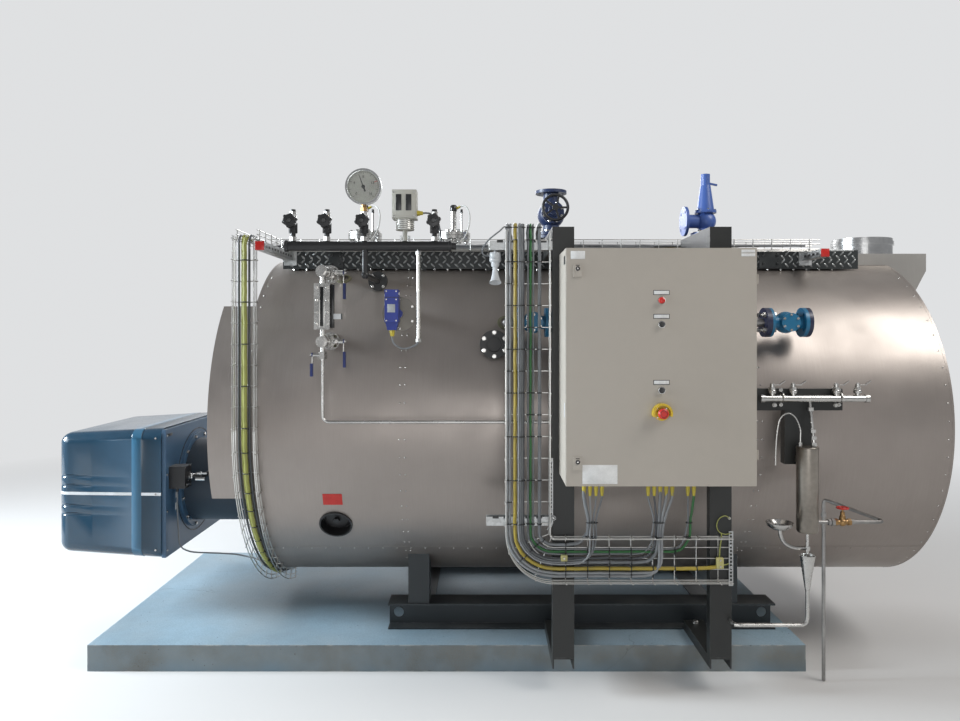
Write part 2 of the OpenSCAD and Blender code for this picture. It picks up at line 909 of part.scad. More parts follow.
module base_rail(x) {
    l = -(beam_y + beam_b / 2) - post_y - seat;
    translate([x, post_y + l, plinth_h + rail_h])
    rotate([90, 0, 0])
    linear_extrude(l)
    rotate(180)
    channel_section(post_w, rail_h, post_t);
}

module top_beam(x) {
    l = -deck_y - post_back - seat;
    cope = tray_small_w + 40;
    translate([x - post_w / 2, post_back, frame_h - top_beam_h])
    difference() {
        union() {
            cube([post_t, l, top_beam_h]);
            translate([0, 0, top_beam_h - post_t]) cube([post_w, l - cope, post_t]);
            cube([post_w, l, post_t]);
            translate([0, l - post_t, 0]) cube([post_w, post_t, top_beam_h]);
        }
        translate([-1, l - cope, top_tray_z - tray_air - frame_h + top_beam_h])
        cube([post_w + 2, cope + 1, top_beam_h]);
    }
}

module posts() {
    color("darkslategray") for (x = [post_left, post_right]) post(x);
}

module base_rails() {
    color("darkslategray") for (x = [post_left, post_right]) base_rail(x);
}

module top_beams() {
    color("darkslategray") for (x = [post_left, post_right]) top_beam(x);
}

hinge_d = 9;
hinge_x = cab_x + cab_w + hinge_d / 2 + 1;
hinge_y = cab_front + door_t / 2;
hinge_zs = [cab_z + 110, cab_z + cab_h - 150];
hinge_l = 20;

module cabinet() {
    color("gainsboro") {
        difference() {
            translate([cab_x, body_front, cab_z]) cube([cab_w, cab_back - body_front, cab_h]);
            translate([cab_x + cab_t, body_front - 1, cab_z + cab_t])
            cube([cab_w - 2 * cab_t, cab_back - body_front - cab_t + 1, cab_h - 2 * cab_t]);
        }
        for (z = hinge_zs) {
            pipe_z(z, z + hinge_l, hinge_x, hinge_y, hinge_d);
            translate([cab_x + cab_w - 1, body_front, z]) cube([hinge_d / 2 + 3, 30, hinge_l]);
            translate([hinge_x - 1.5, hinge_y, z]) cube([3, body_front - hinge_y + 10, hinge_l]);
        }
    }
}

plate_margin = 50;
plate_t = 3;

module cabinet_plate() {
    color("silver") {
        translate([cab_x + plate_margin, cab_back - cab_t - 20 - plate_t, cab_z + plate_margin])
        cube([cab_w - 2 * plate_margin, plate_t, cab_h - 2 * plate_margin]);
        for (x = [cab_x + plate_margin + 20, cab_x + cab_w - plate_margin - 20])
            for (z = [cab_z + plate_margin + 20, cab_z + cab_h - plate_margin - 20])
                pipe_y(cab_back - cab_t, cab_back - cab_t - 20, x, z, 14);
    }
}

door_sheet = 2;
switch_cx = cab_x + cab_w / 2;
switch_cz = cab_z + cab_h * 0.308;
button_zs = [for (share = [0.403, 0.679, 0.78]) cab_z + cab_h * share];
lock_x = cab_x + 48;
lock_dz = 95;

module cabinet_door() {
    color("whitesmoke") {
        difference() {
            translate([cab_x, cab_front, cab_z]) cube([cab_w, door_t, cab_h]);
            translate([cab_x + 25, cab_front + door_sheet, cab_z + 25])
            cube([cab_w - 50, door_t, cab_h - 50]);
            pipe_y(cab_front - 1, cab_front + door_t, switch_cx, switch_cz, 23);
        }
        for (z = [cab_z + lock_dz, cab_z + cab_h - lock_dz])
            facing_front(lock_x, cab_front, z) {
                translate([-18, -27, 0]) cube([36, 54, 6]);
                translate([0, 8, 0]) cylinder(h = 9, d = 20);
            }
        for (z = hinge_zs) {
            pipe_z(z + hinge_l + seat, z + 2 * hinge_l, hinge_x, hinge_y, hinge_d);
            translate([cab_x + cab_w - 1, hinge_y - 2, z + hinge_l + seat])
            cube([hinge_d / 2 + 1, 4, hinge_l - seat]);
        }
    }
}

module door_controls() {
    color("dimgray")
    for (z = button_zs)
        facing_front(switch_cx, cab_front, z) {
            cylinder(h = 6, d = 30);
            cylinder(h = 13, d = 22);
        }
}

collar_d = 83;
collar_base = 9;
stop_travel = 5;
stop_stem_d = 24;

// Yellow collar round the stop button, open below
module stop_collar() {
    color("gold")
    facing_front(switch_cx, cab_front, switch_cz)
    difference() {
        union() {
            cylinder(h = collar_base, d = 64);
            rotate(-20)
            rotate_extrude(angle = 220)
            translate([collar_d / 2 - 9, 0])
            square([9, 30]);
            rotate(-20) rotate_extrude(angle = 220) translate([29, 0]) square([8, 4]);
        }
        translate([0, 0, 1]) cylinder(h = collar_base, d = stop_stem_d + 2 * seat);
    }
}

module stop_button() {
    color("red")
    facing_front(switch_cx, cab_front, switch_cz) {
        translate([0, 0, 1 + stop_travel + 1]) cylinder(h = 22, d = stop_stem_d);
        translate([0, 0, 27]) cylinder(h = 5, d1 = 30, d2 = 44);
        translate([0, 0, 32]) cylinder(h = 7, d = 44);
        translate([0, 0, 39]) cylinder(h = 6, d1 = 44, d2 = 32);
    }
}

gland_pitch = 27;
gland_xs = [
    for (i = [0 : 1]) cab_x + 104 + i * gland_pitch,
    for (i = [0 : 3]) cab_x + 392 + i * gland_pitch,
    for (i = [0 : 1]) cab_x + 570 + i * gland_pitch
];
gland_y = cab_back - 80;
gland_d = 20;
gland_h = 26;

module cable_glands() {
    color("gold")
    for (x = gland_xs)
        translate([x, gland_y, cab_z - gland_h]) {
            hex(gland_d, gland_h * 0.5);
            cylinder(h = gland_h, d = gland_d * 0.8);
        }
}

module wire(l) {
    cylinder(h = l, d = wire_d, $fn = 6);
}

// Cross wire bent to a U: floor along X at the origin's level, sides up along +Y
module cross_wire(w) {
    out = w / 2 + wire_lap;
    translate([-out, -wire_lap, 0]) rotate([0, 90, 0]) wire(2 * out);
    for (s = [-1, 1])
        translate([s * out, -wire_lap - wire_d / 2, 0]) rotate([-90, 0, 0]) wire(tray_h + wire_lap);
}

// A straight basket tray along +Z, floor in the XZ plane, open towards +Y
module tray(l, w) {
    gaps = round(w / tray_mesh);
    for (i = [0 : gaps]) translate([-w / 2 + w * i / gaps, 0, 0]) wire(l);
    for (s = [-1, 1])
        for (y = [tray_h / 2, tray_h - wire_d])
            translate([s * w / 2, y, 0]) wire(l);
    rungs = floor((l - 20) / tray_pitch);
    for (i = [0 : rungs]) translate([0, 0, (l - rungs * tray_pitch) / 2 + i * tray_pitch]) cross_wire(w);
}

bend_out_r = tray_bend_r + tray_w;
lower_top = riser_low - tray_bend_r;
lower_x0 = riser_x + tray_w + tray_bend_r;
lower_l = post_right + post_w / 2 - lower_x0 - 10;

module tray_riser() {
    color("silver") {
        translate([riser_x + tray_w / 2, tray_floor_y, riser_low])
        rotate([0, 0, 180])
        tray(riser_top - riser_low, tray_w);
        translate([lower_x0, tray_floor_y, riser_low]) {
            rotate([90, 0, 0])
            rotate(180) {
                gaps = round(tray_w / tray_mesh);
                for (i = [0 : gaps])
                    rotate_extrude(angle = 90)
                    translate([tray_bend_r + tray_w * i / gaps, 0])
                    circle(d = wire_d, $fn = 6);
                for (z = [tray_h / 2, tray_h - wire_d])
                    for (r = [tray_bend_r, bend_out_r])
                        translate([0, 0, z]) rotate_extrude(angle = 90) translate([r, 0])
                        circle(d = wire_d, $fn = 6);
                for (a = [22.5, 67.5])
                    rotate(a)
                    translate([tray_bend_r + tray_w / 2, 0, 0])
                    rotate([90, 0, 0])
                    cross_wire(tray_w);
            }
        }
    }
}

module tray_lower() {
    color("silver")
    translate([lower_x0, tray_floor_y, lower_top - tray_w / 2])
    rotate([0, 90, 0])
    rotate([0, 0, -90])
    rotate([0, 0, 270])
    tray(lower_l, tray_w);
}

module tray_rim() {
    color("silver") {
        translate([rim_x, -rim_r, axis_z]) rotate([0, 0, 180]) tray(rim_top - axis_z, tray_small_w);
        translate([rim_x, 0, axis_z])
        rotate([0, 90, 0])
        rotate(-90) {
            gaps = round(tray_small_w / tray_mesh);
            for (i = [0 : gaps])
                translate([0, 0, -tray_small_w / 2 + tray_small_w * i / gaps])
                rotate_extrude(angle = rim_sweep) translate([rim_r, 0]) circle(d = wire_d, $fn = 6);
            for (s = [-1, 1])
                for (y = [tray_h / 2, tray_h - wire_d])
                    translate([0, 0, s * tray_small_w / 2])
                    rotate_extrude(angle = rim_sweep) translate([rim_r + y, 0]) circle(d = wire_d, $fn = 6);
            rungs = floor(rim_r * rim_sweep * PI / 180 / tray_pitch);
            for (i = [1 : rungs])
                rotate(rim_sweep * i / (rungs + 0.5))
                translate([rim_r, 0, 0])
                rotate([0, 0, -90])
                rotate([0, 90, 0])
                cross_wire(tray_small_w);
        }
    }
}

top_tray_x1 = arm_x2 + 30;

module tray_top() {
    y = -deck_y - tray_small_w / 2 - 14;
    color("silver") {
        translate([deck_x0 - 30, y, top_tray_z])
        rotate([90, 0, 90])
        tray(top_tray_x1 - deck_x0 + 30, tray_small_w);
        translate([rim_x, -rim_r + wire_lap + wire_d / 2 + seat, top_tray_z])
        rotate([90, 0, 180])
        tray(rim_r + y, tray_small_w);
    }
}

cable_n = 6;
riser_mesh = tray_w / round(tray_w / tray_mesh);
rim_mesh = tray_small_w / round(tray_small_w / tray_mesh);
cable_off = cable_d / 2 + wire_d / 2 - wire_lap + seat;
cable_y = tray_floor_y - cable_off;

// Two cables lie between each pair of long wires, on the cross wires
function cable_x(i) = riser_mesh * (floor(i / 2) + (i % 2 == 0 ? 0.33 : 0.67));

module cables_riser() {
    color("olivedrab")
    for (i = [0 : cable_n - 1]) {
        x = riser_x + cable_x(i);
        r = lower_x0 - x;
        end_x = lower_x0 + 90 + i * 105;
        pipe_z(riser_low, riser_top - 30, x, cable_y, cable_d);
        translate([lower_x0, cable_y, riser_low]) rotate([90, 0, 0]) rotate(180) bend(r, cable_d);
        pipe_x(lower_x0, end_x, cable_y, riser_low - r, cable_d);
    }
}

module cables_cabinet() {
    color("slategray")
    for (i = [0 : len(gland_xs) - 1]) {
        x = gland_xs[i];
        low = lower_top - 40 - 12 * (i % 4);
        pipe_z(low + 40, cab_z - gland_h, x, gland_y, cable_d - 2);
        translate([x, gland_y + 40, low + 40]) rotate([0, -90, 0]) rotate(180) bend(40, cable_d - 2);
    }
}

module cables_rim() {
    color("yellowgreen")
    for (i = [-0.67, -0.33, 0.33]) {
        x = rim_x + i * rim_mesh;
        r = rim_r + cable_off;
        pipe_z(axis_z, rim_top - 60, x, -r, cable_d);
        translate([x, 0, axis_z]) rotate([0, 90, 0]) rotate(-90) bend(r, cable_d, rim_sweep - 4);
    }
}

feed_y = -shell_r + 10;
feed_z = axis_z + feed_dz;
feed_d = 42;
feed_x0 = 295;
feed_stop_x = 420;
check_x = 1524;
check_l = 180;
stop_l = 150;

module feed_pipe() {
    color("gray")
    difference() {
        union() {
            pipe_y(-skin(feed_dz) + 20, feed_y, feed_x0, feed_z, feed_d);
            translate([feed_x0, feed_y, feed_z]) sphere(d = feed_d + 2);
            pipe_x(feed_x0, feed_stop_x - stop_l / 2 - seat, feed_y, feed_z, feed_d);
            pipe_x(feed_stop_x + stop_l / 2 + seat, check_x - seat, feed_y, feed_z, feed_d);
        }
        barrel_room();
    }
}

// A blue cast valve body between two flanges along X, from x for the length l
module cast_valve(x, l, y, z) {
    for (at = [x, x + l - 18])
        translate([at, y, z]) rotate([0, 90, 0]) flange(feed_flange_d, 18, feed_pcd, 4, 18);
    pipe_x(x + 18, x + l - 18, y, z, 64);
    translate([x + l / 2, y, z]) rotate(90) sphere(d = 104);
    pipe_y(y, y - 66, x + l / 2, z, 70);
    pipe_y(y - 58, y - 72, x + l / 2, z, 88);
}

module feed_valves() {
    color("blue") {
        cast_valve(feed_stop_x - stop_l / 2, stop_l, feed_y, feed_z);
        translate([check_x, feed_y, feed_z]) rotate([0, 90, 0]) flange(feed_flange_d, 18, feed_pcd, 4, 18);
        cast_valve(check_x + 18 + seat, check_l, feed_y, feed_z);
        translate([check_x + 18 + 2 * seat + check_l, feed_y, feed_z])
        rotate([0, 90, 0])
        difference() {
            flange(feed_flange_d, 18, feed_pcd, 4, 18);
            translate([0, 0, 6]) cylinder(h = 20, d = 36);
        }
    }
}

arm_x1s = post_right + post_w / 2 + seat;
arm_len = 509;
arm_low = axis_z + 112;
hang_x = 1567;
hang_w = 123;
hang_low = 1070;
sample_y = post_y - 25;
sample_z = arm_low + 57;
sample_x0 = 1449;
sample_x1 = 1936;
sample_d = 32;
sample_xs = [1499, 1595, 1791, 1889];

module sample_bracket() {
    color("black") {
        translate([arm_x1s, post_y, arm_low + 50])
        rotate([90, 0, 90])
        linear_extrude(arm_len)
        rotate(-90)
        channel_section(100, post_d, post_t);
        translate([hang_x + hang_w / 2, post_y, hang_low])
        linear_extrude(arm_low - hang_low)
        channel_section(hang_w, post_d, post_t);
    }
}

module sample_pipes() {
    color("silver") {
        pipe_x(sample_x0, sample_x1, sample_y, sample_z, sample_d);
        for (x = sample_xs) {
            pipe_z(sample_z, sample_z + 60, x, sample_y, 20);
            translate([x, sample_y, sample_z + 26]) hex(30, 26);
        }
        for (x = [sample_x0 + 20, sample_x1 - 140])
            translate([x, post_y - 26, sample_z - 14]) cube([24, 26 - seat, 28]);
    }
}

module sample_lever(i) {
    color("lightgray")
    translate([sample_xs[i], sample_y, sample_z + 60 + seat]) {
        difference() {
            cylinder(h = 6, d = 20);
            translate([0, 0, -1]) cylinder(h = 8, d = 8);
        }
        translate([6, -6, 0]) cube([32, 12, 4]);
        translate([34, -5, 0.5]) rotate([0, -35, 0]) cube([32, 10, 4]);
    }
}

cooler_x = 1643;
cooler_y = post_y - 65;
cooler_low = 771;
cooler_top = 1163;
cooler_d = 95;

funnel_z = 514;
funnel_top = 672;
waste_z = 357;
waste_r = 30;
waste_d = 18;

// Open funnel under the cooler, with its waste pipe led back to the right post
module waste_funnel() {
    difference() {
        translate([cooler_x, cooler_y, funnel_z]) cylinder(h = funnel_top - funnel_z, d1 = 20, d2 = 70);
        translate([cooler_x, cooler_y, funnel_z + 8])
        cylinder(h = funnel_top - funnel_z, d1 = 14, d2 = 66);
    }
    pipe_z(waste_z + waste_r, funnel_z, cooler_x, cooler_y, waste_d);
    translate([cooler_x - waste_r, cooler_y, waste_z + waste_r])
    rotate([90, 0, 0])
    rotate(-90)
    bend(waste_r, waste_d);
    pipe_x(post_right, cooler_x - waste_r, cooler_y, waste_z, waste_d);
    translate([post_right, cooler_y, waste_z]) sphere(d = waste_d + 4);
    pipe_y(cooler_y, post_y - seat, post_right, waste_z, waste_d);
}

module sample_cooler() {
    color("silver") {
        translate([cooler_x, cooler_y, cooler_low + 50])
        cylinder(h = cooler_top - cooler_low - 80, d = cooler_d);
        translate([cooler_x, cooler_y, cooler_low]) cylinder(h = 50, d1 = 40, d2 = cooler_d);
        translate([cooler_x, cooler_y, cooler_top - 30]) cylinder(h = 30, d1 = cooler_d, d2 = 50);
        pipe_z(cooler_top, sample_z - sample_d / 2 - 24, cooler_x, sample_y - 10, 16);
        translate([cooler_x - 30, cooler_y + cooler_d / 2 - 12, cooler_top - 80])
        cube([60, post_y - cooler_y - cooler_d / 2 + 12 - seat, 30]);
        waste_funnel();
    }
}

horn_x = 237;
horn_y = post_y + strut / 2;
horn_z = crown_z - 122;
horn_h = 77;

module horn() {
    color("white") {
        pipe_z(horn_z, horn_z + horn_h, horn_x, horn_y, 72);
        translate([horn_x, horn_y, horn_z - horn_h]) cylinder(h = horn_h, d1 = 64, d2 = 36);
        pipe_z(horn_z + horn_h, strut_z2 - strut / 2 - seat, horn_x, horn_y, 14);
    }
}

plinth();
skid();
pressure_vessel();
shell_front_sheet();
shell_middle_sheet();
shell_rear_sheet();
front_plate();
rear_plate();
smoke_box();
shell_fittings();
burner_tube();
burner_panel();
burner_hood();
burner_actuator();
flue_hood();
flue_collar();
walkway();
tray_arms();
gauge_manifold();
manifold_valves();
pressure_gauge();
pressure_switch();
water_gauge();
lever_water_top();
lever_water_low();
lever_water_drain();
drain_pipe();
level_transmitter();
level_probes();
steam_valve();
steam_wheel();
safety_valve();
posts();
base_rails();
top_beams();
cabinet();
cabinet_plate();
cabinet_door();
door_controls();
stop_collar();
stop_button();
cable_glands();
tray_riser();
tray_lower();
tray_rim();
tray_top();
cables_riser();
cables_cabinet();
cables_rim();
feed_pipe();
feed_valves();
sample_bracket();
sample_pipes();
sample_lever(0);  // sample_lever_1
sample_lever(1);  // sample_lever_2
sample_lever(2);  // sample_lever_3
sample_lever(3);  // sample_lever_4
sample_cooler();
horn();
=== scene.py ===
# %% [markdown]
# # A packaged steam boiler, dressed on its CAD frame
# The CAD model already holds every solid of the boiler at its real size, in metres. This lesson
# loads it, gives each sheet, casting, wire and cable a finish built from nodes, and models the
# small things that the CAD leaves out: tread pattern, bolts, dials, locks, ties and cable bundles.

# %% The CAD frame
import json
import math
import random

import bmesh
import bpy
from mathutils import Matrix, Vector


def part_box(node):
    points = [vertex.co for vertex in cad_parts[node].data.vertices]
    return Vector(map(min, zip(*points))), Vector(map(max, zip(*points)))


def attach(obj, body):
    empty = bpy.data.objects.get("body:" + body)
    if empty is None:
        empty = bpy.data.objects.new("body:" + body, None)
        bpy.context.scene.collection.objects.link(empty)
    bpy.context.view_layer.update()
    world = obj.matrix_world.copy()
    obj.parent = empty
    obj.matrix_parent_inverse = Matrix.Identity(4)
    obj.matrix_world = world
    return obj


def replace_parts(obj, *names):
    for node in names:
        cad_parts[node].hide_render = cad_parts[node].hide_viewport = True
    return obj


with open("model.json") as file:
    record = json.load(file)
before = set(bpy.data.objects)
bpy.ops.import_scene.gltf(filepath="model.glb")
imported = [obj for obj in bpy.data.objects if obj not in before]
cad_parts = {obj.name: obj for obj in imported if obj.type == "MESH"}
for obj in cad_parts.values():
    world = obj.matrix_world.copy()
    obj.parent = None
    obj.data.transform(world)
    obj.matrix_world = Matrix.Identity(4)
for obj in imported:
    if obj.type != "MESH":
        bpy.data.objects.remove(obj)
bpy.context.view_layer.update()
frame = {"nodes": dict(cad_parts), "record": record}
dice = random.Random(11)

# %% [markdown]
# ## Camera
# The photograph looks square at the boiler's side, so its camera has no tilt: the upright lines
# stay parallel, and the picture's middle is moved with lens shift instead. The focal length comes
# from how fast the barrel's two ends shrink with distance.

# %% Camera
PICTURE_W = 960
PICTURE_H = 721
FOCAL_PX = 750
LEVEL_PX = (485, 331.4)
SENSOR = 36

lens = bpy.data.cameras.new("camera")
lens.sensor_fit = "HORIZONTAL"
lens.sensor_width = SENSOR
lens.lens = FOCAL_PX / PICTURE_W * SENSOR
lens.shift_x = (PICTURE_W / 2 - LEVEL_PX[0]) / PICTURE_W
lens.shift_y = (LEVEL_PX[1] - PICTURE_H / 2) / PICTURE_W
lens.clip_end = 60
camera = bpy.data.objects.new("camera", lens)
camera.location = (0.19, -4.48, 1.68)
camera.rotation_euler = (math.pi / 2, 0, 0)
bpy.context.scene.collection.objects.link(camera)
bpy.context.scene.camera = camera
print("lens", round(lens.lens, 2), "mm")

# %% [markdown]
# ## Adding nodes
# Every finish here is a chain of nodes. One helper adds a node and fills its inputs, either with a
# plain value or with another node's output, so that a material reads like a recipe.


# %% Node helpers
def add(tree, kind, inputs=None, **settings):
    """Adds a node to a tree, sets it up, and fills its inputs from values or other outputs."""
    made = tree.nodes.new(kind)
    for name, value in settings.items():
        setattr(made, name, value)
    for name, value in (inputs or {}).items():
        if isinstance(value, bpy.types.NodeSocket):
            tree.links.new(value, made.inputs[name])
        else:
            made.inputs[name].default_value = value
    return made


def calculate(tree, how, a, b, clamp=False):
    """The result of one Math node."""
    return add(tree, "ShaderNodeMath", {0: a, 1: b}, operation=how, use_clamp=clamp).outputs[0]


def blend_colors(tree, factor, a, b):
    """A colour that runs from a to b with the factor."""
    made = add(tree, "ShaderNodeMix", {0: factor, 6: a, 7: b}, data_type="RGBA")
    return made.outputs[2]


def span(tree, value, low, high, to_low=0.0, to_high=1.0):
    """Stretches the part of a value between low and high over a new range."""
    stretched = add(tree, "ShaderNodeMapRange", {0: value, 1: low, 2: high, 3: to_low, 4: to_high})
    return stretched.outputs[0]


def rgba(color):
    """A colour with full alpha, as node inputs want it."""
    return (*color, 1.0)


# %% [markdown]
# ## The studio
# A pale floor and backdrop in one piece, so no horizon line shows near the boiler. Big soft lamps
# light it: one high on the right, two cool ones on the left, one behind, and a weak one in front
# that lifts the shadows under the barrel. The world shows itself as a pale backdrop to the camera
# and a darker one to reflections, and it lights the object with less still.

# %% Stage and lamps
FLOOR_GREY = (0.62, 0.61, 0.60)
FLOOR_SIZE = (26, 20, 1)
FLOOR_SHIFT = -8
WALL_CURVE = 6
WALL_RISE = 12
PAPER_NEAR, PAPER_FAR = 2.6, 8.0
# The world's colour and strength as it lights, as mirrors show it, and as the camera sees it
WORLD_TONES = (((0.93, 0.96, 1.0), 0.21), ((0.9, 0.92, 0.95), 0.33), ((0.9, 0.9, 0.9), 0.9))


def show_backdrop(tree, coords, shader):
    """Far from the boiler the paper shows its own pale tone to the camera and to mirrors."""
    away = add(tree, "ShaderNodeVectorMath", {0: coords}, operation="LENGTH").outputs["Value"]
    path = add(tree, "ShaderNodeLightPath").outputs
    looked_at = calculate(tree, "MAXIMUM", path["Is Camera Ray"], path["Is Glossy Ray"])
    share = calculate(tree, "MULTIPLY", span(tree, away, PAPER_NEAR, PAPER_FAR), looked_at)
    glow = add(tree, "ShaderNodeEmission", {"Color": rgba((0.74, 0.75, 0.76)), "Strength": 1.0})
    both = add(tree, "ShaderNodeMixShader", {0: share})
    tree.links.new(shader.outputs[0], both.inputs[1])
    tree.links.new(glow.outputs[0], both.inputs[2])
    tree.links.new(both.outputs[0], tree.nodes["Material Output"].inputs[0])


def build_stage():
    """A floor that curves up into a back wall."""
    bm = bmesh.new()
    bmesh.ops.create_grid(bm, x_segments=1, y_segments=1, size=1)
    bmesh.ops.scale(bm, vec=FLOOR_SIZE, verts=bm.verts)
    bmesh.ops.translate(bm, vec=(0, FLOOR_SHIFT, 0), verts=bm.verts)
    back = FLOOR_SIZE[1] + FLOOR_SHIFT
    far = [e for e in bm.edges if all(v.co.y > back - 1 for v in e.verts)]
    turned = bmesh.ops.spin(
        bm, geom=far, cent=(0, back, WALL_CURVE), axis=(1, 0, 0), dvec=(0, 0, 0), angle=math.pi / 2,
        steps=12,
    )
    risen = bmesh.ops.extrude_edge_only(
        bm, edges=[g for g in turned["geom_last"] if isinstance(g, bmesh.types.BMEdge)]
    )
    bmesh.ops.translate(
        bm, vec=(0, 0, WALL_RISE), verts=[g for g in risen["geom"] if isinstance(g, bmesh.types.BMVert)]
    )
    mesh = bpy.data.meshes.new("studio_floor")
    bm.to_mesh(mesh)
    bm.free()
    mesh.shade_smooth()
    stage = bpy.data.objects.new("studio_floor", mesh)
    bpy.context.scene.collection.objects.link(stage)
    paper = bpy.data.materials.new("studio paper")
    paper.use_nodes = True
    tree = paper.node_tree
    shader = tree.nodes["Principled BSDF"]
    shader.inputs["Roughness"].default_value = 0.85
    coords = add(tree, "ShaderNodeTexCoord").outputs["Object"]
    cloud = add(tree, "ShaderNodeTexNoise", {"Vector": coords, "Scale": 1.2})
    tone = span(tree, cloud.outputs[0], 0.3, 0.7, 0.96, 1.0)
    tinted = blend_colors(tree, tone, rgba((0.5, 0.5, 0.5)), rgba(FLOOR_GREY))
    tree.links.new(tinted, shader.inputs["Base Color"])
    show_backdrop(tree, coords, shader)
    mesh.materials.append(paper)


def soft_lamp(name, place, aim, size, watts, color=(1, 1, 1)):
    """A square softbox at a place, turned towards the aim."""
    data = bpy.data.lights.new(name, "AREA")
    data.size = size
    data.energy = watts
    data.color = color
    lamp = bpy.data.objects.new(name, data)
    lamp.location = place
    lamp.rotation_euler = (Vector(aim) - Vector(place)).to_track_quat("-Z", "Y").to_euler()
    bpy.context.scene.collection.objects.link(lamp)


def build_world():
    """A pale world that lights the object less than it shows."""
    world = bpy.data.worlds.new("studio")
    bpy.context.scene.world = world
    world.use_nodes = True
    tree = world.node_tree
    tree.nodes.clear()
    path = add(tree, "ShaderNodeLightPath").outputs
    seen = calculate(tree, "MAXIMUM", path["Is Camera Ray"], path["Is Transmission Ray"])
    lit, mirrored, shown = (
        add(tree, "ShaderNodeBackground", {"Color": rgba(color), "Strength": strength})
        for color, strength in WORLD_TONES
    )
    first = add(tree, "ShaderNodeMixShader", {0: path["Is Glossy Ray"]})
    tree.links.new(lit.outputs[0], first.inputs[1])
    tree.links.new(mirrored.outputs[0], first.inputs[2])
    last = add(tree, "ShaderNodeMixShader", {0: seen})
    tree.links.new(first.outputs[0], last.inputs[1])
    tree.links.new(shown.outputs[0], last.inputs[2])
    out = add(tree, "ShaderNodeOutputWorld")
    tree.links.new(last.outputs[0], out.inputs[0])


build_stage()
build_world()
soft_lamp("high right", (5.2, -3.3, 6.3), (0.6, 0, 1.2), 3.2, 310, (1.0, 0.98, 0.95))
soft_lamp("fill", (-7.2, -3.2, 3.0), (-0.4, -0.8, 1.2), 2.6, 130, (0.86, 0.94, 1.0))
soft_lamp("left side", (-7.0, -0.95, 3.0), (0.2, -1.2, 1.5), 2.0, 1000, (0.84, 0.93, 1.0))
soft_lamp("front", (0.5, -6.5, 1.4), (0.2, 0, 0.9), 2.6, 45)
soft_lamp("back", (-1.0, 5.5, 4.5), (0.0, 0, 1.2), 3.0, 200, (0.95, 0.97, 1.0))
bpy.context.scene.view_settings.view_transform = "Standard"
print("stage, world and five lamps")

# %% [markdown]
# ## Effects shared by many finishes
# Four effects come back on almost every surface: paint worn along edges, dust on what faces up,
# uneven tone over a large sheet, and the drawn grain of worked metal. Each is a node group, built
# once. A group hands out masks and values only, and the Principled shader stays in the material.


# %% Node groups
def open_group(name, output, **inputs):
    """A new shader node group: a plain number makes a float input, anything else a vector."""
    group = bpy.data.node_groups.new(name, "ShaderNodeTree")
    for label, value in inputs.items():
        kind = "NodeSocketFloat" if isinstance(value, float) else "NodeSocketVector"
        socket = group.interface.new_socket(label, in_out="INPUT", socket_type=kind)
        if value is not None:
            socket.default_value = value
    group.interface.new_socket(output, in_out="OUTPUT", socket_type="NodeSocketFloat")
    return group, add(group, "NodeGroupInput").outputs, add(group, "NodeGroupOutput")


def edge_wear_group():
    """1 where paint is rubbed off near an edge, broken up by noise."""
    group, given, out = open_group(
        "edge wear", "Mask", Vector=None, Radius=0.003, Scale=30.0, Amount=0.5
    )
    rounded = add(group, "ShaderNodeBevel", {"Radius": given["Radius"]}, samples=4)
    flat = add(group, "ShaderNodeNewGeometry").outputs["Normal"]
    dot = add(group, "ShaderNodeVectorMath", {0: rounded.outputs[0], 1: flat}, operation="DOT_PRODUCT")
    edge = span(group, dot.outputs["Value"], 0.995, 0.8)
    chips = add(
        group, "ShaderNodeTexNoise", {"Vector": given["Vector"], "Scale": given["Scale"], "Detail": 5.0}
    )
    broken = span(group, chips.outputs[0], 0.46, 0.62)
    worn = calculate(group, "MULTIPLY", edge, broken)
    group.links.new(calculate(group, "MULTIPLY", worn, given["Amount"], True), out.inputs[0])
    return group


def dust_group():
    """1 where dust lies: on what faces up, in soft patches."""
    group, given, out = open_group("dust", "Mask", Vector=None, Scale=4.0, Amount=0.4)
    facing = add(group, "ShaderNodeNewGeometry").outputs["Normal"]
    upness = add(group, "ShaderNodeSeparateXYZ", {0: facing}).outputs[2]
    top = span(group, upness, 0.2, 0.95, 0.12, 1.0)
    patches = add(
        group, "ShaderNodeTexNoise", {"Vector": given["Vector"], "Scale": given["Scale"], "Detail": 6.0}
    )
    soft = span(group, patches.outputs[0], 0.35, 0.7, 0.25, 1.0)
    lying = calculate(group, "MULTIPLY", top, soft)
    group.links.new(calculate(group, "MULTIPLY", lying, given["Amount"], True), out.inputs[0])
    return group


def tone_group():
    """A slow change between 0 and 1 with finer stains inside it."""
    group, given, out = open_group("tone", "Value", Vector=None, Scale=2.0)
    broad = add(group, "ShaderNodeTexNoise", {"Vector": given["Vector"], "Scale": given["Scale"]})
    fine_scale = calculate(group, "MULTIPLY", given["Scale"], 9.0)
    fine = add(
        group, "ShaderNodeTexNoise", {"Vector": given["Vector"], "Scale": fine_scale, "Detail": 8.0}
    )
    most = calculate(group, "MULTIPLY", broad.outputs[0], 0.7)
    rest = calculate(group, "MULTIPLY", fine.outputs[0], 0.3)
    group.links.new(span(group, calculate(group, "ADD", most, rest), 0.32, 0.68), out.inputs[0])
    return group


def grain_group():
    """Fine scratches drawn out along one direction, set by the stretch."""
    group, given, out = open_group(
        "grain", "Value", Vector=None, Stretch=(1.0, 1.0, 1.0), Scale=60.0
    )
    drawn = add(
        group, "ShaderNodeVectorMath", {0: given["Vector"], 1: given["Stretch"]}, operation="MULTIPLY"
    )
    lines = add(
        group, "ShaderNodeTexNoise", {"Vector": drawn.outputs[0], "Scale": given["Scale"], "Detail": 4.0}
    )
    group.links.new(span(group, lines.outputs[0], 0.3, 0.7), out.inputs[0])
    return group


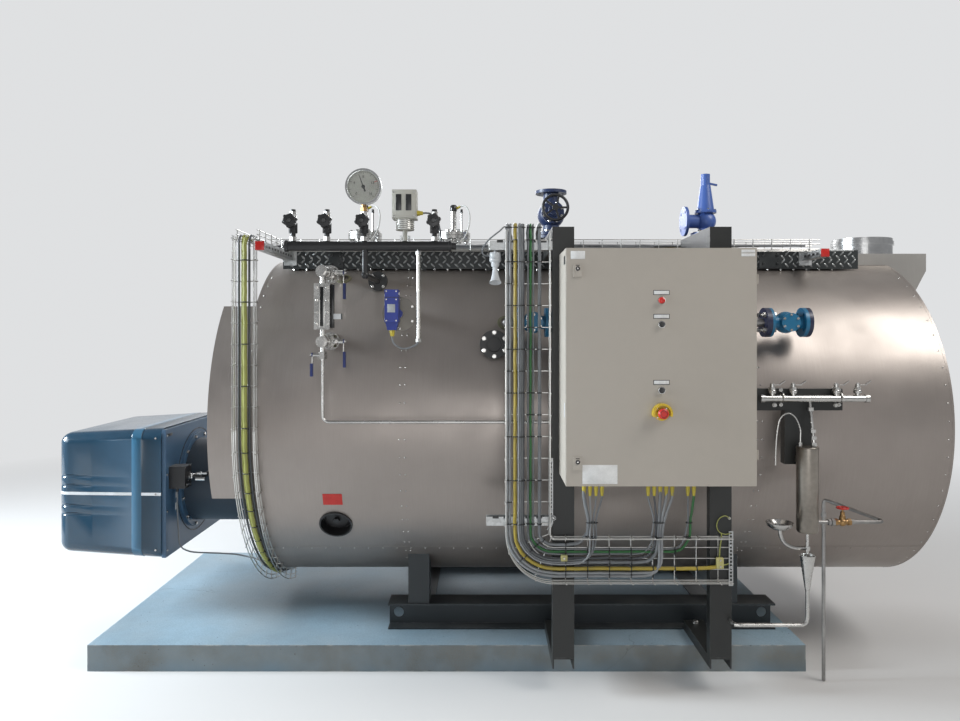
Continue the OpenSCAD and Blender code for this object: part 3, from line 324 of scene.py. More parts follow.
EDGE_WEAR = edge_wear_group()
DUST = dust_group()
TONE = tone_group()
GRAIN = grain_group()
print("node groups", [g.name for g in (EDGE_WEAR, DUST, TONE, GRAIN)])

# %% [markdown]
# ## A finish and its parts
# A material here starts from the Principled shader and the Object coordinates, so a pattern keeps
# its true size and stays on the steel when the door swings. The small class below keeps a
# material's tree, its coordinates and its shader together.


# %% Finish class
class Finish:
    """A material under construction."""

    def __init__(self, name, roughness, metallic=0.0, coat=0.0):
        self.material = bpy.data.materials.new(name)
        self.material.use_nodes = True
        self.tree = self.material.node_tree
        self.shader = self.tree.nodes["Principled BSDF"]
        self.shader.inputs["Metallic"].default_value = metallic
        self.shader.inputs["Roughness"].default_value = roughness
        self.shader.inputs["Coat Weight"].default_value = coat
        self.place = self.node("ShaderNodeTexCoord").outputs["Object"]

    def node(self, kind, inputs=None, **settings):
        return add(self.tree, kind, inputs, **settings)

    def effect(self, group, **values):
        """A shared effect, placed in this material with its own values."""
        made = self.node("ShaderNodeGroup", node_tree=group)
        self.tree.links.new(self.place, made.inputs["Vector"])
        for name, value in values.items():
            made.inputs[name].default_value = value
        return made.outputs[0]

    def noise(self, scale, detail=3.0):
        made = self.node("ShaderNodeTexNoise", {"Vector": self.place, "Scale": scale, "Detail": detail})
        return made.outputs[0]

    def mix(self, factor, a, b):
        return blend_colors(self.tree, factor, a, b)

    def tones(self, factor, color, dark, light):
        """A colour that runs from a darker to a lighter tone of itself."""
        return self.mix(factor, rgba(shade(color, dark)), rgba(shade(color, light)))

    def dust_over(self, base, scale, amount):
        """Sets the colour with dust lying on it, and returns where the dust is."""
        dusty = self.effect(DUST, Scale=scale, Amount=amount)
        self.set("Base Color", self.mix(dusty, base, rgba(DUST_COLOR)))
        return dusty

    def math(self, how, a, b, clamp=False):
        return calculate(self.tree, how, a, b, clamp)

    def span(self, value, low, high, to_low=0.0, to_high=1.0):
        return span(self.tree, value, low, high, to_low, to_high)

    def set(self, name, value):
        self.tree.links.new(value, self.shader.inputs[name])

    def bump(self, height, distance, strength=1.0, soft_edge=0.0):
        """Relief from a height, over edges that are rounded in shading only."""
        inputs = {"Height": height, "Distance": distance, "Strength": strength}
        if soft_edge:
            inputs["Normal"] = self.node("ShaderNodeBevel", {"Radius": soft_edge}, samples=4).outputs[0]
        self.set("Normal", self.node("ShaderNodeBump", inputs).outputs[0])


def shade(color, factor):
    """The same colour, darker or lighter."""
    return tuple(min(1.0, c * factor) for c in color)


# %% [markdown]
# ## Paint, bare metal and plastic
# Most parts wear one of three kinds of surface. Paint has a slow change of tone, an orange-peel
# skin, dust on top and bare metal at knocked edges. Bare metal has a drawn grain that breaks up
# its reflection. Moulded plastic has a fine even texture and paler, rubbed edges. Each kind is one
# function, with a plainer metal for thin wire, and each part calls it with its own colour and gloss.

# %% Three kinds of surface
DUST_COLOR = (0.36, 0.34, 0.31)


def with_bands(made, base, bands):
    """Other colours between two places along an axis: (axis, low, high, colour)."""
    for axis, low, high, other in bands:
        along = made.node("ShaderNodeSeparateXYZ", {0: made.place}).outputs[axis]
        above = made.math("GREATER_THAN", along, low)
        inside = made.math("MULTIPLY", above, made.math("LESS_THAN", along, high))
        base = made.mix(inside, base, rgba(other))
    return base


def paint(
    name, color, roughness, coat=0.0, wear=0.4, bare=(0.33, 0.33, 0.34), dust=0.35, peel=0.6,
    cloud=0.13, bands=(),
):
    """Sprayed paint on steel."""
    made = Finish(name, roughness, coat=coat)
    tone = made.effect(TONE, Scale=2.4)
    base = with_bands(made, made.tones(tone, color, 1 - cloud, 1 + cloud), bands)
    worn = made.effect(EDGE_WEAR, Radius=0.0025, Scale=38.0, Amount=wear)
    dusty = made.dust_over(made.mix(worn, base, rgba(bare)), 5.0, dust)
    uneven = made.math("MULTIPLY_ADD", tone, 0.08)
    uneven.node.inputs[2].default_value = roughness - 0.04
    made.set("Roughness", made.math("ADD", uneven, made.math("MULTIPLY", dusty, 0.35), True))
    made.bump(made.noise(420.0), 0.0004, peel, soft_edge=0.0018)
    return made.material


def metal(
    name, color, roughness, stretch=(1.0, 1.0, 1.0), grain=60.0, dust=0.12, stain=0.2, fuzz=0.12,
    relief=0.35,
):
    """Bare or plated metal with a drawn grain."""
    made = Finish(name, roughness, metallic=1.0)
    tone = made.effect(TONE, Scale=6.0)
    lines = made.effect(GRAIN, Stretch=stretch, Scale=grain)
    dusty = made.dust_over(made.tones(tone, color, 1.0 - stain, 1.0 + stain / 2), 7.0, dust)
    uneven = made.math("ADD", lines, tone)
    rough = made.span(uneven, 0.0, 2.0, max(0.04, roughness - fuzz), roughness + fuzz)
    made.set("Roughness", made.math("ADD", rough, made.math("MULTIPLY", dusty, 0.3), True))
    made.bump(lines, 0.0002, relief)
    return made.material


def wire(name, color, roughness):
    """Thin plated wire, plain enough for its small size."""
    made = Finish(name, roughness, metallic=1.0)
    tone = made.effect(TONE, Scale=9.0)
    made.dust_over(made.tones(tone, color, 0.8, 1.08), 7.0, 0.25)
    made.set("Roughness", made.span(tone, 0.0, 1.0, roughness - 0.05, roughness + 0.08))
    return made.material


def plastic(name, color, roughness, texture=500.0, dust=0.15, bands=()):
    """Moulded plastic or rubber sheath."""
    made = Finish(name, roughness)
    tone = made.effect(TONE, Scale=14.0)
    base = with_bands(made, made.tones(tone, color, 0.84, 1.12), bands)
    rubbed = made.effect(EDGE_WEAR, Radius=0.0015, Scale=90.0, Amount=0.3)
    pale = tuple(0.6 * c + 0.16 for c in color)
    made.dust_over(made.mix(rubbed, base, rgba(pale)), 9.0, dust)
    made.set("Roughness", made.span(tone, 0.0, 1.0, roughness - 0.05, roughness + 0.07))
    made.bump(made.noise(texture), 0.0002, 0.4, soft_edge=0.001)
    return made.material


# %% [markdown]
# ## Cladding
# The barrel is wrapped in thin painted aluminium sheet, a warm silver grey. Such a sheet is never
# quite flat: it dents softly between its rivets, its rolling direction shows as a faint grain
# round the barrel, and hands and rags leave duller patches. All three are nodes on one metallic
# paint, with dust on what faces up.


# %% Cladding sheet
def cladding(name, color, roughness=0.36):
    made = Finish(name, roughness, metallic=0.72)
    tone = made.effect(TONE, Scale=1.1)
    rolled = made.effect(GRAIN, Stretch=(26.0, 1.0, 1.0), Scale=9.0)
    base = made.tones(tone, color, 0.9, 1.07)
    streak = made.mix(made.span(rolled, 0.0, 1.0, 0.0, 0.35), base, rgba(shade(color, 0.84)))
    dusty = made.dust_over(streak, 3.0, 0.4)
    wiped = made.span(made.noise(2.6, 6.0), 0.35, 0.65, roughness - 0.05, roughness + 0.09)
    made.set("Roughness", made.math("ADD", wiped, made.math("MULTIPLY", dusty, 0.3), True))
    dents = made.node(
        "ShaderNodeTexNoise", {"Vector": made.place, "Scale": 2.1, "Detail": 1.5, "Distortion": 0.3}
    ).outputs[0]
    relief = made.math("ADD", dents, made.math("MULTIPLY", rolled, 0.012))
    made.bump(relief, 0.012, 0.35)
    return made.material


# %% [markdown]
# ## Concrete
# The plinth is cast concrete with a blue-grey sealer. On its upright faces most of the sealer has
# peeled and raw concrete shows. Small air holes, hairline cracks and pale scuffed edges break both,
# and the faces grow darker in patches towards their lower edge. Voronoi distance makes the
# holes, and a thin band of a warped noise makes the cracks.


# %% Sealed concrete
RAW_CONCRETE = (0.155, 0.155, 0.14)


def concrete(name, color):
    made = Finish(name, 0.62)
    tone = made.effect(TONE, Scale=1.6)
    base = made.tones(tone, color, 0.78, 1.14)
    sand = made.noise(160.0, 2.0)
    normal = made.node("ShaderNodeNewGeometry").outputs["Normal"]
    facing = made.node("ShaderNodeSeparateXYZ", {0: normal}).outputs[2]
    raw = made.tones(tone, RAW_CONCRETE, 0.7, 1.25)
    peeled = made.span(made.noise(5.0, 8.0), 0.42, 0.6, 0.8, 1.0)
    sealed = made.mix(made.math("MULTIPLY", made.span(facing, 0.6, 0.2), peeled), base, raw)
    gritty = made.mix(made.span(sand, 0.35, 0.7, 0.0, 0.4), sealed, rgba(shade(color, 0.5)))
    warped = made.node(
        "ShaderNodeTexNoise", {"Vector": made.place, "Scale": 0.9, "Detail": 9.0, "Distortion": 0.8}
    ).outputs[0]
    crack = made.span(made.math("ABSOLUTE", made.math("SUBTRACT", warped, 0.5), 0.0), 0.0, 0.0035, 1.0, 0.0)
    thin = made.math("MULTIPLY", crack, made.span(made.noise(1.7), 0.56, 0.64))
    cells = made.node("ShaderNodeTexVoronoi", {"Vector": made.place, "Scale": 26.0}).outputs["Distance"]
    holes = made.math("MULTIPLY", made.span(cells, 0.1, 0.05), made.span(made.noise(7.0), 0.52, 0.58))
    worn = made.effect(EDGE_WEAR, Radius=0.012, Scale=16.0, Amount=0.85)
    pale = made.mix(worn, gritty, rgba((0.52, 0.51, 0.48)))
    height = made.node("ShaderNodeSeparateXYZ", {0: made.place}).outputs[2]
    # Darker in patches over the lowest 7 cm of each face.
    darker_low = made.math(
        "MULTIPLY", made.span(height, 0.07, 0.0), made.span(made.noise(3.1, 8.0), 0.38, 0.66)
    )
    low_darkened = made.mix(darker_low, pale, rgba(shade(color, 0.5)))
    dusty = made.effect(DUST, Scale=2.0, Amount=0.35)
    aged = made.mix(dusty, low_darkened, rgba((0.40, 0.39, 0.36)))
    marks = made.math("MAXIMUM", made.math("MULTIPLY", thin, 0.55), holes)
    made.set("Base Color", made.mix(marks, aged, rgba((0.07, 0.07, 0.065))))
    made.set("Roughness", made.span(made.math("ADD", sand, tone), 0.4, 1.6, 0.5, 0.74))
    relief = made.math("SUBTRACT", made.math("MULTIPLY", sand, 0.3), marks)
    made.bump(relief, 0.0025, 0.6, soft_edge=0.006)
    return made.material


# %% [markdown]
# ## Galvanised steel
# Zinc cools into crystals that show as a patchwork of greys. A Voronoi pattern gives each crystal
# its own tone and its own gloss.


# %% Galvanised
def galvanised(name, color, crystal=70.0):
    made = Finish(name, 0.4, metallic=0.9)
    cells = made.node("ShaderNodeTexVoronoi", {"Vector": made.place, "Scale": crystal})
    grey = made.node("ShaderNodeRGBToBW", {0: cells.outputs["Color"]}).outputs[0]
    made.dust_over(made.tones(made.span(grey, 0.2, 0.8), color, 0.78, 1.06), 6.0, 0.3)
    made.set("Roughness", made.span(grey, 0.2, 0.8, 0.3, 0.5))
    made.bump(grey, 0.0002, 0.3, soft_edge=0.001)
    return made.material


# %% [markdown]
# ## One finish for each slot
# The record names a slot for every CAD node. Here each slot gets its material, and the colours are
# those of the photograph with the dim light taken out.

# %% Material for each slot
WARM_GREY = (0.345, 0.305, 0.280)
VALVE_NAVY = (0.014, 0.018, 0.055)
VALVE_BLUE = (0.050, 0.110, 0.36)
SHEATH_DARK = (0.05, 0.055, 0.06)
FINISH = {
    "concrete": concrete("sealed concrete", (0.26, 0.385, 0.475)),
    "cladding": cladding("barrel cladding", WARM_GREY),
    "vessel": paint("primed steel", (0.20, 0.10, 0.07), 0.7, wear=0.1),
    "skid_paint": paint("skid paint", (0.012, 0.018, 0.022), 0.42, wear=0.5, dust=0.15),
    "frame_paint": paint("frame paint", (0.0135, 0.0145, 0.0138), 0.42, wear=0.5, dust=0.05),
    "deck_plate": paint("chequer plate", (0.014, 0.018, 0.019), 0.38, wear=0.5, dust=0.15),
    "galvanised": galvanised("galvanised strut", (0.50, 0.51, 0.51)),
    "wire_zinc": wire("zinc wire", (0.60, 0.59, 0.565), 0.33),
    "black_iron": paint("black iron paint", (0.009, 0.009, 0.010), 0.4, wear=0.5, dust=0.05, peel=1.0),
    "burner_blue": paint(
        "burner hood gloss", (0.004, 0.036, 0.070), 0.2, coat=0.3, wear=0.1, dust=0.08, peel=0.2,
        # The lighter blue band over the raised strap is a painted highlight along the strap, not a second
        # paint.
        bands=[(0, -1.7121, -1.6579, (0.022, 0.105, 0.185))],
    ),
    "burner_dark": paint("burner panel", (0.050, 0.110, 0.190), 0.36, wear=0.2, dust=0.12),
    "burner_grey": paint("heat-resisting grey", (0.020, 0.034, 0.052), 0.5, wear=0.3, dust=0.15),
    "black_plastic": plastic("black housing", (0.013, 0.013, 0.015), 0.42),
    "hood_sheet": cladding("flue hood sheet", (0.36, 0.345, 0.325), 0.45),
    "flue_steel": metal("flue stainless", (0.66, 0.66, 0.655), 0.2, stretch=(0.2, 0.2, 14.0), grain=30.0),
    "bright_steel": wire("bright stainless", (0.56, 0.55, 0.53), 0.24),
    "gauge_case": metal("gauge case", (0.72, 0.72, 0.71), 0.14, grain=90.0, stain=0.08),
    "instrument_grey": paint("instrument grey", (0.46, 0.45, 0.40), 0.45, wear=0.35, dust=0.3),
    "lever_blue": plastic("blue lever sleeve", (0.008, 0.020, 0.12), 0.34),
    "transmitter_blue": paint(
        "transmitter blue", (0.012, 0.028, 0.21), 0.34, wear=0.2, dust=0.08,
        bands=[(1, -0.9295, 0.0, (0.17, 0.155, 0.13))],
    ),
    "valve_blue": paint(
        "valve blue", VALVE_BLUE, 0.36, coat=0.1, wear=0.3, dust=0.12, peel=1.0,
        bands=[
            (2, 1.0, 1.9, (0.008, 0.145, 0.285)), (0, 1.40, 1.548, VALVE_NAVY),
            (0, 1.722, 1.76, VALVE_NAVY), (2, 1.95, 3.2, VALVE_BLUE),
        ],
    ),
    "valve_dark": paint(
        "stop valve paint", (0.014, 0.028, 0.085), 0.38, wear=0.4, dust=0.12, peel=1.0,
        bands=[(1, -0.34, -0.262, (0.010, 0.010, 0.012))],
    ),
    "cabinet_grey": paint(
        "cabinet powder coat", (0.405, 0.368, 0.320), 0.42, wear=0.12, bare=(0.62, 0.61, 0.58),
        dust=0.1, cloud=0.03,
    ),
    "mounting_zinc": galvanised("mounting plate zinc", (0.60, 0.60, 0.58), 40.0),
    "control_black": plastic("control black", (0.016, 0.016, 0.017), 0.3),
    "switch_red": plastic("switch red", (0.55, 0.015, 0.01), 0.28),
    "gland_yellow": plastic("gland yellow", (0.50, 0.40, 0.035), 0.32),
    "collar_yellow": plastic("collar yellow", (0.62, 0.43, 0.015), 0.3),
    "cable_mixed": plastic("riser cable sheath", (0.17, 0.18, 0.19), 0.45),
    "cable_grey": plastic("cable sheath grey", (0.17, 0.18, 0.19), 0.45),
    "cable_green": plastic(
        "cable sheath yellow-green", (0.29, 0.30, 0.07), 0.42,
        bands=[(0, -0.995, -0.975, SHEATH_DARK), (0, -0.9405, -0.92, SHEATH_DARK)],
    ),
    "pipe_steel": metal("pipe steel", (0.36, 0.35, 0.34), 0.42, stain=0.35),
    "horn_white": plastic("horn white", (0.56, 0.575, 0.59), 0.32),
}

slot_of = {part["node"]: part["material_slot"] for part in frame["record"]["subparts"]}
for node_name, node_object in frame["nodes"].items():
    node_object.data.materials.clear()
    node_object.data.materials.append(FINISH[slot_of[node_name]])
print(len(FINISH), "finishes on", len(slot_of), "nodes")

# %% [markdown]
# ## Shapes that many pieces share
# Bolts, rods, blocks and turned rings come back all over the boiler. Each helper below adds one to
# an open bmesh, standing on a place: a matrix whose own +Z points out of the surface. A piece is
# closed by one function that turns its faces outwards, keeps hard edges hard, and lets the piece
# ride on its body.


# %% Shape helpers
def stand(at, axis, turn=0.0):
    """A place at a point, with its own +Z along the axis and turned about it."""
    aimed = Vector(axis).to_track_quat("Z", "Y").to_matrix().to_4x4()
    return Matrix.Translation(at) @ aimed @ Matrix.Rotation(turn, 4, "Z")


def add_rod(bm, place, radius, length, segments=16, top_radius=None):
    """A rod or cone that starts at the place and runs along its +Z."""
    end = radius if top_radius is None else top_radius
    bmesh.ops.create_cone(
        bm,
        cap_ends=True,
        segments=segments,
        radius1=radius,
        radius2=end,
        depth=length,
        matrix=place @ Matrix.Translation((0, 0, length / 2)),
    )


def add_nut(bm, at, axis, radius, length):
    """A plain hexagon nut that stands on a point."""
    add_rod(bm, stand(at, axis), radius, length, 6)


def add_block(bm, low, high, rounded=0.0, place=None):
    """A box between two corners, its edges rounded if asked."""
    low, high = Vector(low), Vector(high)
    made = bmesh.ops.create_cube(bm, size=1)["verts"]
    bmesh.ops.scale(bm, vec=high - low, verts=made)
    bmesh.ops.translate(bm, vec=(low + high) / 2, verts=made)
    edges = list({e for v in made for e in v.link_edges})
    if rounded:
        bevelled = bmesh.ops.bevel(
            bm, geom=edges, offset=rounded, offset_type="OFFSET", affect="EDGES", segments=2,
            profile=0.5, material=-1, clamp_overlap=True,
        )
        made = list({v for f in bevelled["faces"] for v in f.verts})
    if place is not None:
        bmesh.ops.transform(bm, matrix=place, verts=list({v for v in made if v.is_valid}))


def add_turned(bm, place, outline, steps=32):
    """A turned piece: an outline of (radius, height) spun about the place's +Z."""
    points = [bm.verts.new((r, 0, h)) for r, h in outline]
    line = [bm.edges.new(pair) for pair in zip(points, points[1:])]
    spun = bmesh.ops.spin(
        bm, geom=points + line, cent=(0, 0, 0), axis=(0, 0, 1), angle=2 * math.pi, steps=steps,
        use_merge=True,
    )
    made = points + [g for g in spun["geom_last"] if isinstance(g, bmesh.types.BMVert)]
    whole = set()
    stack = [v for v in made if v.is_valid]
    while stack:
        v = stack.pop()
        if v not in whole:
            whole.add(v)
            stack.extend(e.other_vert(v) for e in v.link_edges)
    bmesh.ops.remove_doubles(bm, verts=list(whole), dist=1e-6)
    whole = [v for v in whole if v.is_valid]
    bmesh.ops.transform(bm, matrix=place, verts=whole)


def as_mesh(name, bm):
    """The open bmesh as a mesh."""
    mesh = bpy.data.meshes.new(name)
    bm.to_mesh(mesh)
    bm.free()
    return mesh


def hex_head(across, height, washer=1.25):
    """A hexagon head with a chamfered top, on its washer, as a mesh to stamp."""
    bm = bmesh.new()
    corner = across / 2 / math.cos(math.pi / 6)
    plate = across * 0.12
    add_rod(bm, Matrix(), across / 2 * washer, plate, 14)
    add_rod(bm, Matrix.Translation((0, 0, plate)), corner, height * 0.82, 6)
    add_rod(bm, Matrix.Translation((0, 0, plate + height * 0.82)), corner, height * 0.18, 6, corner * 0.84)
    return as_mesh("hex_head", bm)


def nut_and_stud(across, stud):
    """A nut on its washer with the stud's end standing out of it."""
    mesh = hex_head(across, across * 0.5)
    bm = bmesh.new()
    bm.from_mesh(mesh)
    add_rod(bm, Matrix(), stud / 2, across * 0.95, 10, stud / 2)
    add_rod(bm, Matrix.Translation((0, 0, across * 0.95)), stud / 2, stud * 0.12, 10, stud * 0.38)
    bm.to_mesh(mesh)
    bm.free()
    return mesh


def stamp(bm, shape, places):
    """Copies a mesh to every place."""
    for place in places:
        copy = shape.copy()
        copy.transform(place)
        bm.from_mesh(copy)
        bpy.data.meshes.remove(copy)


def ring_of(count, radius, place, first=0.5):
    """Places round a bolt circle."""
    step = 2 * math.pi / count
    return [
        place
        @ Matrix.Rotation(step * (i + first), 4, "Z")
        @ Matrix.Translation((radius, 0, 0))
        @ Matrix.Rotation(dice.uniform(0, math.pi / 3), 4, "Z")
        for i in range(count)
    ]


def circle(centre, first, second, radius, degrees):
    """Points on a circle, turned from the first direction towards the second."""
    turns = [(math.cos(math.radians(d)), math.sin(math.radians(d))) for d in degrees]
    return [
        tuple(c + radius * (f * along + s * across) for c, f, s in zip(centre, first, second))
        for along, across in turns
    ]


def smooth_path(knots, step=0.03, wander=0.0):
    """Points along a smooth curve through the knots, pushed about a little if asked."""
    knots = [Vector(k) for k in knots]
    ends = [2 * knots[0] - knots[1], *knots, 2 * knots[-1] - knots[-2]]
    points = []
    for a, b, c, d in zip(ends, ends[1:], ends[2:], ends[3:]):
        count = max(2, round((c - b).length / step))
        for i in range(count):
            t = i / count
            point = 0.5 * (
                2 * b + (c - a) * t + (2 * a - 5 * b + 4 * c - d) * t**2 + (3 * b - a - 3 * c + d) * t**3
            )
            points.append(point + Vector([dice.uniform(-wander, wander) for _ in range(3)]))
    return [*points, knots[-1]]


def add_hose(bm, points, radius, fine=2):
    """A round cable, hose or bent rod along the points."""
    path = bpy.data.curves.new("path", "CURVE")
    path.dimensions = "3D"
    path.bevel_depth = radius
    path.bevel_resolution = fine
    path.use_fill_caps = True
    line = path.splines.new("POLY")
    line.points.add(len(points) - 1)
    for spot, point in zip(line.points, points):
        spot.co = (*point, 1.0)
    holder = bpy.data.objects.new("path", path)
    bm.from_mesh(holder.to_mesh())
    holder.to_mesh_clear()
    bpy.data.objects.remove(holder)
    bpy.data.curves.remove(path)


def add_band(bm, points, outward, low, high, thick):
    """A flat upright strip along level points, with its own thickness pushed outwards."""
    rows = []
    for point, out in zip(points, outward):
        inner, outer = Vector(point), Vector(point) + Vector(out) * thick
        rows.append([bm.verts.new((v.x, v.y, z)) for v, z in
                     ((inner, low), (outer, low), (outer, high), (inner, high))])
    for a, b in zip(rows, rows[1:]):
        for i in range(4):
            bm.faces.new((a[i], a[(i + 1) % 4], b[(i + 1) % 4], b[i]))
    bm.faces.new(rows[0])
    bm.faces.new(reversed(rows[-1]))


def close_piece(name, bm, slot, body="root", finish=None, hard=35):
    """Makes the mesh a piece of the boiler."""
    bmesh.ops.recalc_face_normals(bm, faces=bm.faces)
    mesh = as_mesh(name, bm)
    mesh.shade_smooth()
    mesh.set_sharp_from_angle(angle=math.radians(hard))
    mesh.materials.append(finish or FINISH[slot])
    piece = bpy.data.objects.new(name, mesh)
    bpy.context.scene.collection.objects.link(piece)
    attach(piece, body)
    print(name, len(mesh.polygons), "faces, on", body)
    return piece


def lay(name, knots, radius, finish=None, wander=0.0008, step=0.03):
    """One cable as a piece, along a smooth curve through its knots."""
    bm = bmesh.new()
    add_hose(bm, smooth_path(knots, step, wander), radius, 2)
    return close_piece(name, bm, "cable_grey", finish=finish)


def block_piece(name, slot, low, high, rounded=0.0, finish=None):
    """A piece that is one block, such as a tag, a label or a tab."""
    bm = bmesh.new()
    add_block(bm, low, high, rounded)
    close_piece(name, bm, slot, finish=finish)


UP = (0, 0, 1)
DOWN = (0, 0, -1)
FRONT = (0, -1, 0)
BACK = (0, 1, 0)
LEFT = (-1, 0, 0)
RIGHT = (1, 0, 0)
print("shape helpers ready")

# %% [markdown]
# ## Chequer plate
# The walkway's deck and its folded skirts are tread plate: rows of lens-shaped lugs, each turned
# the other way from its neighbour, 43 mm apart. A lug is one low eight-sided cone, stretched and
# tapered, so that all of them together stay light. Their worn tops catch the light along the skirt,
# so they are true geometry and not a bump.

# %% Tread lugs
LUG_PITCH = 0.043
LUG_LENGTH = 0.031
LUG_WIDTH = 0.0105
LUG_HEIGHT = 0.0022
deck_low, deck_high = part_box("walkway")
SKIRT_LOW = 2.021
DECK_TOP = deck_high.z
DECK_HOLES = [(-0.526, 0, 0.075), (0.002, 0, 0.075), (0.584, 0, 0.07), (1.433, -0.25, 0.065)]
HOOD_START = 2.205


def lug_shape():
    bm = bmesh.new()
    add_rod(bm, Matrix.Translation((0, 0, -0.0004)), 0.5, 1.0, 8, 0.28)
    bmesh.ops.scale(bm, vec=(LUG_LENGTH, LUG_WIDTH, LUG_HEIGHT), verts=bm.verts)
    return as_mesh("lug", bm)


def on_deck(x, y):
    """Whether a lug fits here, away from the holes and the flue hood."""
    clear = LUG_PITCH * 0.55
    if x > HOOD_START - clear:
        return False
    return all(math.hypot(x - hx, y - hy) > r + clear for hx, hy, r in DECK_HOLES)


def lug_places():
    columns = int((deck_high.x - deck_low.x - 0.02) / LUG_PITCH)
    first_x = (deck_low.x + deck_high.x - (columns - 1) * LUG_PITCH) / 2
    rows = int((deck_high.y - deck_low.y - 0.02) / LUG_PITCH)
    first_y = -(rows - 1) * LUG_PITCH / 2
    places = []
    for i in range(columns):
        x = first_x + i * LUG_PITCH
        for j in range(rows):
            y = first_y + j * LUG_PITCH
            if on_deck(x, y):
                turn = math.pi / 4 if (i + j) % 2 else -math.pi / 4
                places.append(stand((x, y, DECK_TOP), UP, turn))
        for face, y in ((FRONT, deck_low.y), (BACK, deck_high.y)):
            for j in range(4):
                z = SKIRT_LOW + 0.016 + j * LUG_PITCH / 2 + 0.004
                turn = math.pi / 4 if j % 2 else -math.pi / 4
                shift = LUG_PITCH / 2 if j in (1, 2) else 0.0
                if x + shift < deck_high.x - 0.02:
                    places.append(stand((x + shift, y, z), face, turn))
    return places


def build_lugs():
    bm = bmesh.new()
    stamp(bm, lug_shape(), lug_places())
    trodden = wire("trodden lugs", (0.30, 0.31, 0.31), 0.36)
    close_piece("tread_lugs", bm, "deck_plate", finish=trodden, hard=25)


build_lugs()

# %% [markdown]
# ## What hangs on the walkway
# Two splice plates join the skirt's lengths, small studs hold its lower edge to the shell's feet,
# and the deck's rim is a bare rolled edge that has lost its paint. The rim is a thin strip that
# sits on the fold.

# %% Walkway trim
SPLICES = ((-0.624, 0.075), (1.748, 0.12))
SPLICE_THICK = 0.006
RIM_THICK = 0.0035
STUD_PITCH = 0.07


def build_walkway_trim():
    bm = bmesh.new()
    for x, width in SPLICES:
        add_block(
            bm, (x - width / 2, deck_low.y - SPLICE_THICK, SKIRT_LOW + 0.006),
            (x + width / 2, deck_low.y, DECK_TOP - 0.006), 0.0015,
        )
        bolt = hex_head(0.013, 0.006)
        for side in (-1, 1):
            for z in (SKIRT_LOW + 0.028, DECK_TOP - 0.028):
                spot = (x + side * width * 0.32, deck_low.y - SPLICE_THICK, z)
                stamp(bm, bolt, [stand(spot, FRONT, 0.3)])
    close_piece("splice_plates", bm, "deck_plate")

    bm = bmesh.new()
    for y, face in ((deck_low.y, FRONT), (deck_high.y, BACK)):
        out = face[1]
        add_block(
            bm, (deck_low.x, min(y, y + out * RIM_THICK), DECK_TOP - 0.007),
            (HOOD_START, max(y, y + out * RIM_THICK), DECK_TOP + 0.0012), 0.001,
        )
    close_piece("deck_rims", bm, "galvanised")

    bm = bmesh.new()
    stud = hex_head(0.010, 0.007)
    count = int((deck_high.x - deck_low.x - 0.1) / STUD_PITCH)
    for i in range(count):
        x = deck_low.x + 0.06 + i * STUD_PITCH
        stamp(bm, stud, [stand((x, deck_low.y + 0.0025, SKIRT_LOW), DOWN, i)])
    close_piece("skirt_studs", bm, "bright_steel")


build_walkway_trim()

# %% [markdown]
# ## Rivets of the cladding
# Blind rivets hold the sheets along both seams and round both rims, and a lengthwise seam runs low
# on the side. A rivet is a flat dome. The seams themselves are steps in the CAD sheets.

# %% Rivets
AXIS_Z = 1.205
SHELL_R = 0.89
SHELL_X0 = -0.98
SHELL_X1 = 2.44
END_SHEET_R = SHELL_R - 0.0006
SEAMS = (-0.207, 1.506)
RIM_IN = 0.028
RIVET_R = 0.0046
RIVET_ROWS = (
    (-0.219, END_SHEET_R), (-0.195, SHELL_R), (1.494, SHELL_R), (1.518, END_SHEET_R),
    (SHELL_X0 + RIM_IN, END_SHEET_R), (SHELL_X1 - RIM_IN, END_SHEET_R),
)
LAP_DEGREES = -46


def dome(radius, height):
    bm = bmesh.new()
    bmesh.ops.create_icosphere(bm, subdivisions=1, radius=1)
    bmesh.ops.bisect_plane(
        bm, geom=bm.verts[:] + bm.edges[:] + bm.faces[:], plane_co=(0, 0, -0.1), plane_no=(0, 0, 1),
        clear_inner=True,
    )
    bmesh.ops.holes_fill(bm, edges=[e for e in bm.edges if e.is_boundary])
    bmesh.ops.scale(bm, vec=(radius, radius, height), verts=bm.verts)
    return as_mesh("dome", bm)


def on_shell(x, angle, radius=SHELL_R):
    """A place on the barrel's skin: the angle is 0 at the front and a quarter turn at the top."""
    out = Vector((0, -math.cos(angle), math.sin(angle)))
    return stand(Vector((x, 0, AXIS_Z)) + out * radius, out)


def build_rivets():
    bm = bmesh.new()
    rivet = dome(RIVET_R, 0.0026)
    around = 64
    for x, radius in RIVET_ROWS:
        for i in range(around):
            angle = 2 * math.pi * (i + 0.5) / around
            place = on_shell(x, angle, radius)
            if place.translation.z < 2.0:
                stamp(bm, rivet, [place])
    for i in range(46):
        x = SHELL_X0 + 0.06 + i * 0.073
        radius = SHELL_R if SEAMS[0] < x < SEAMS[1] else END_SHEET_R
        stamp(bm, rivet, [on_shell(x, math.radians(LAP_DEGREES), radius)])
    close_piece("cladding_rivets", bm, "bright_steel", hard=60)


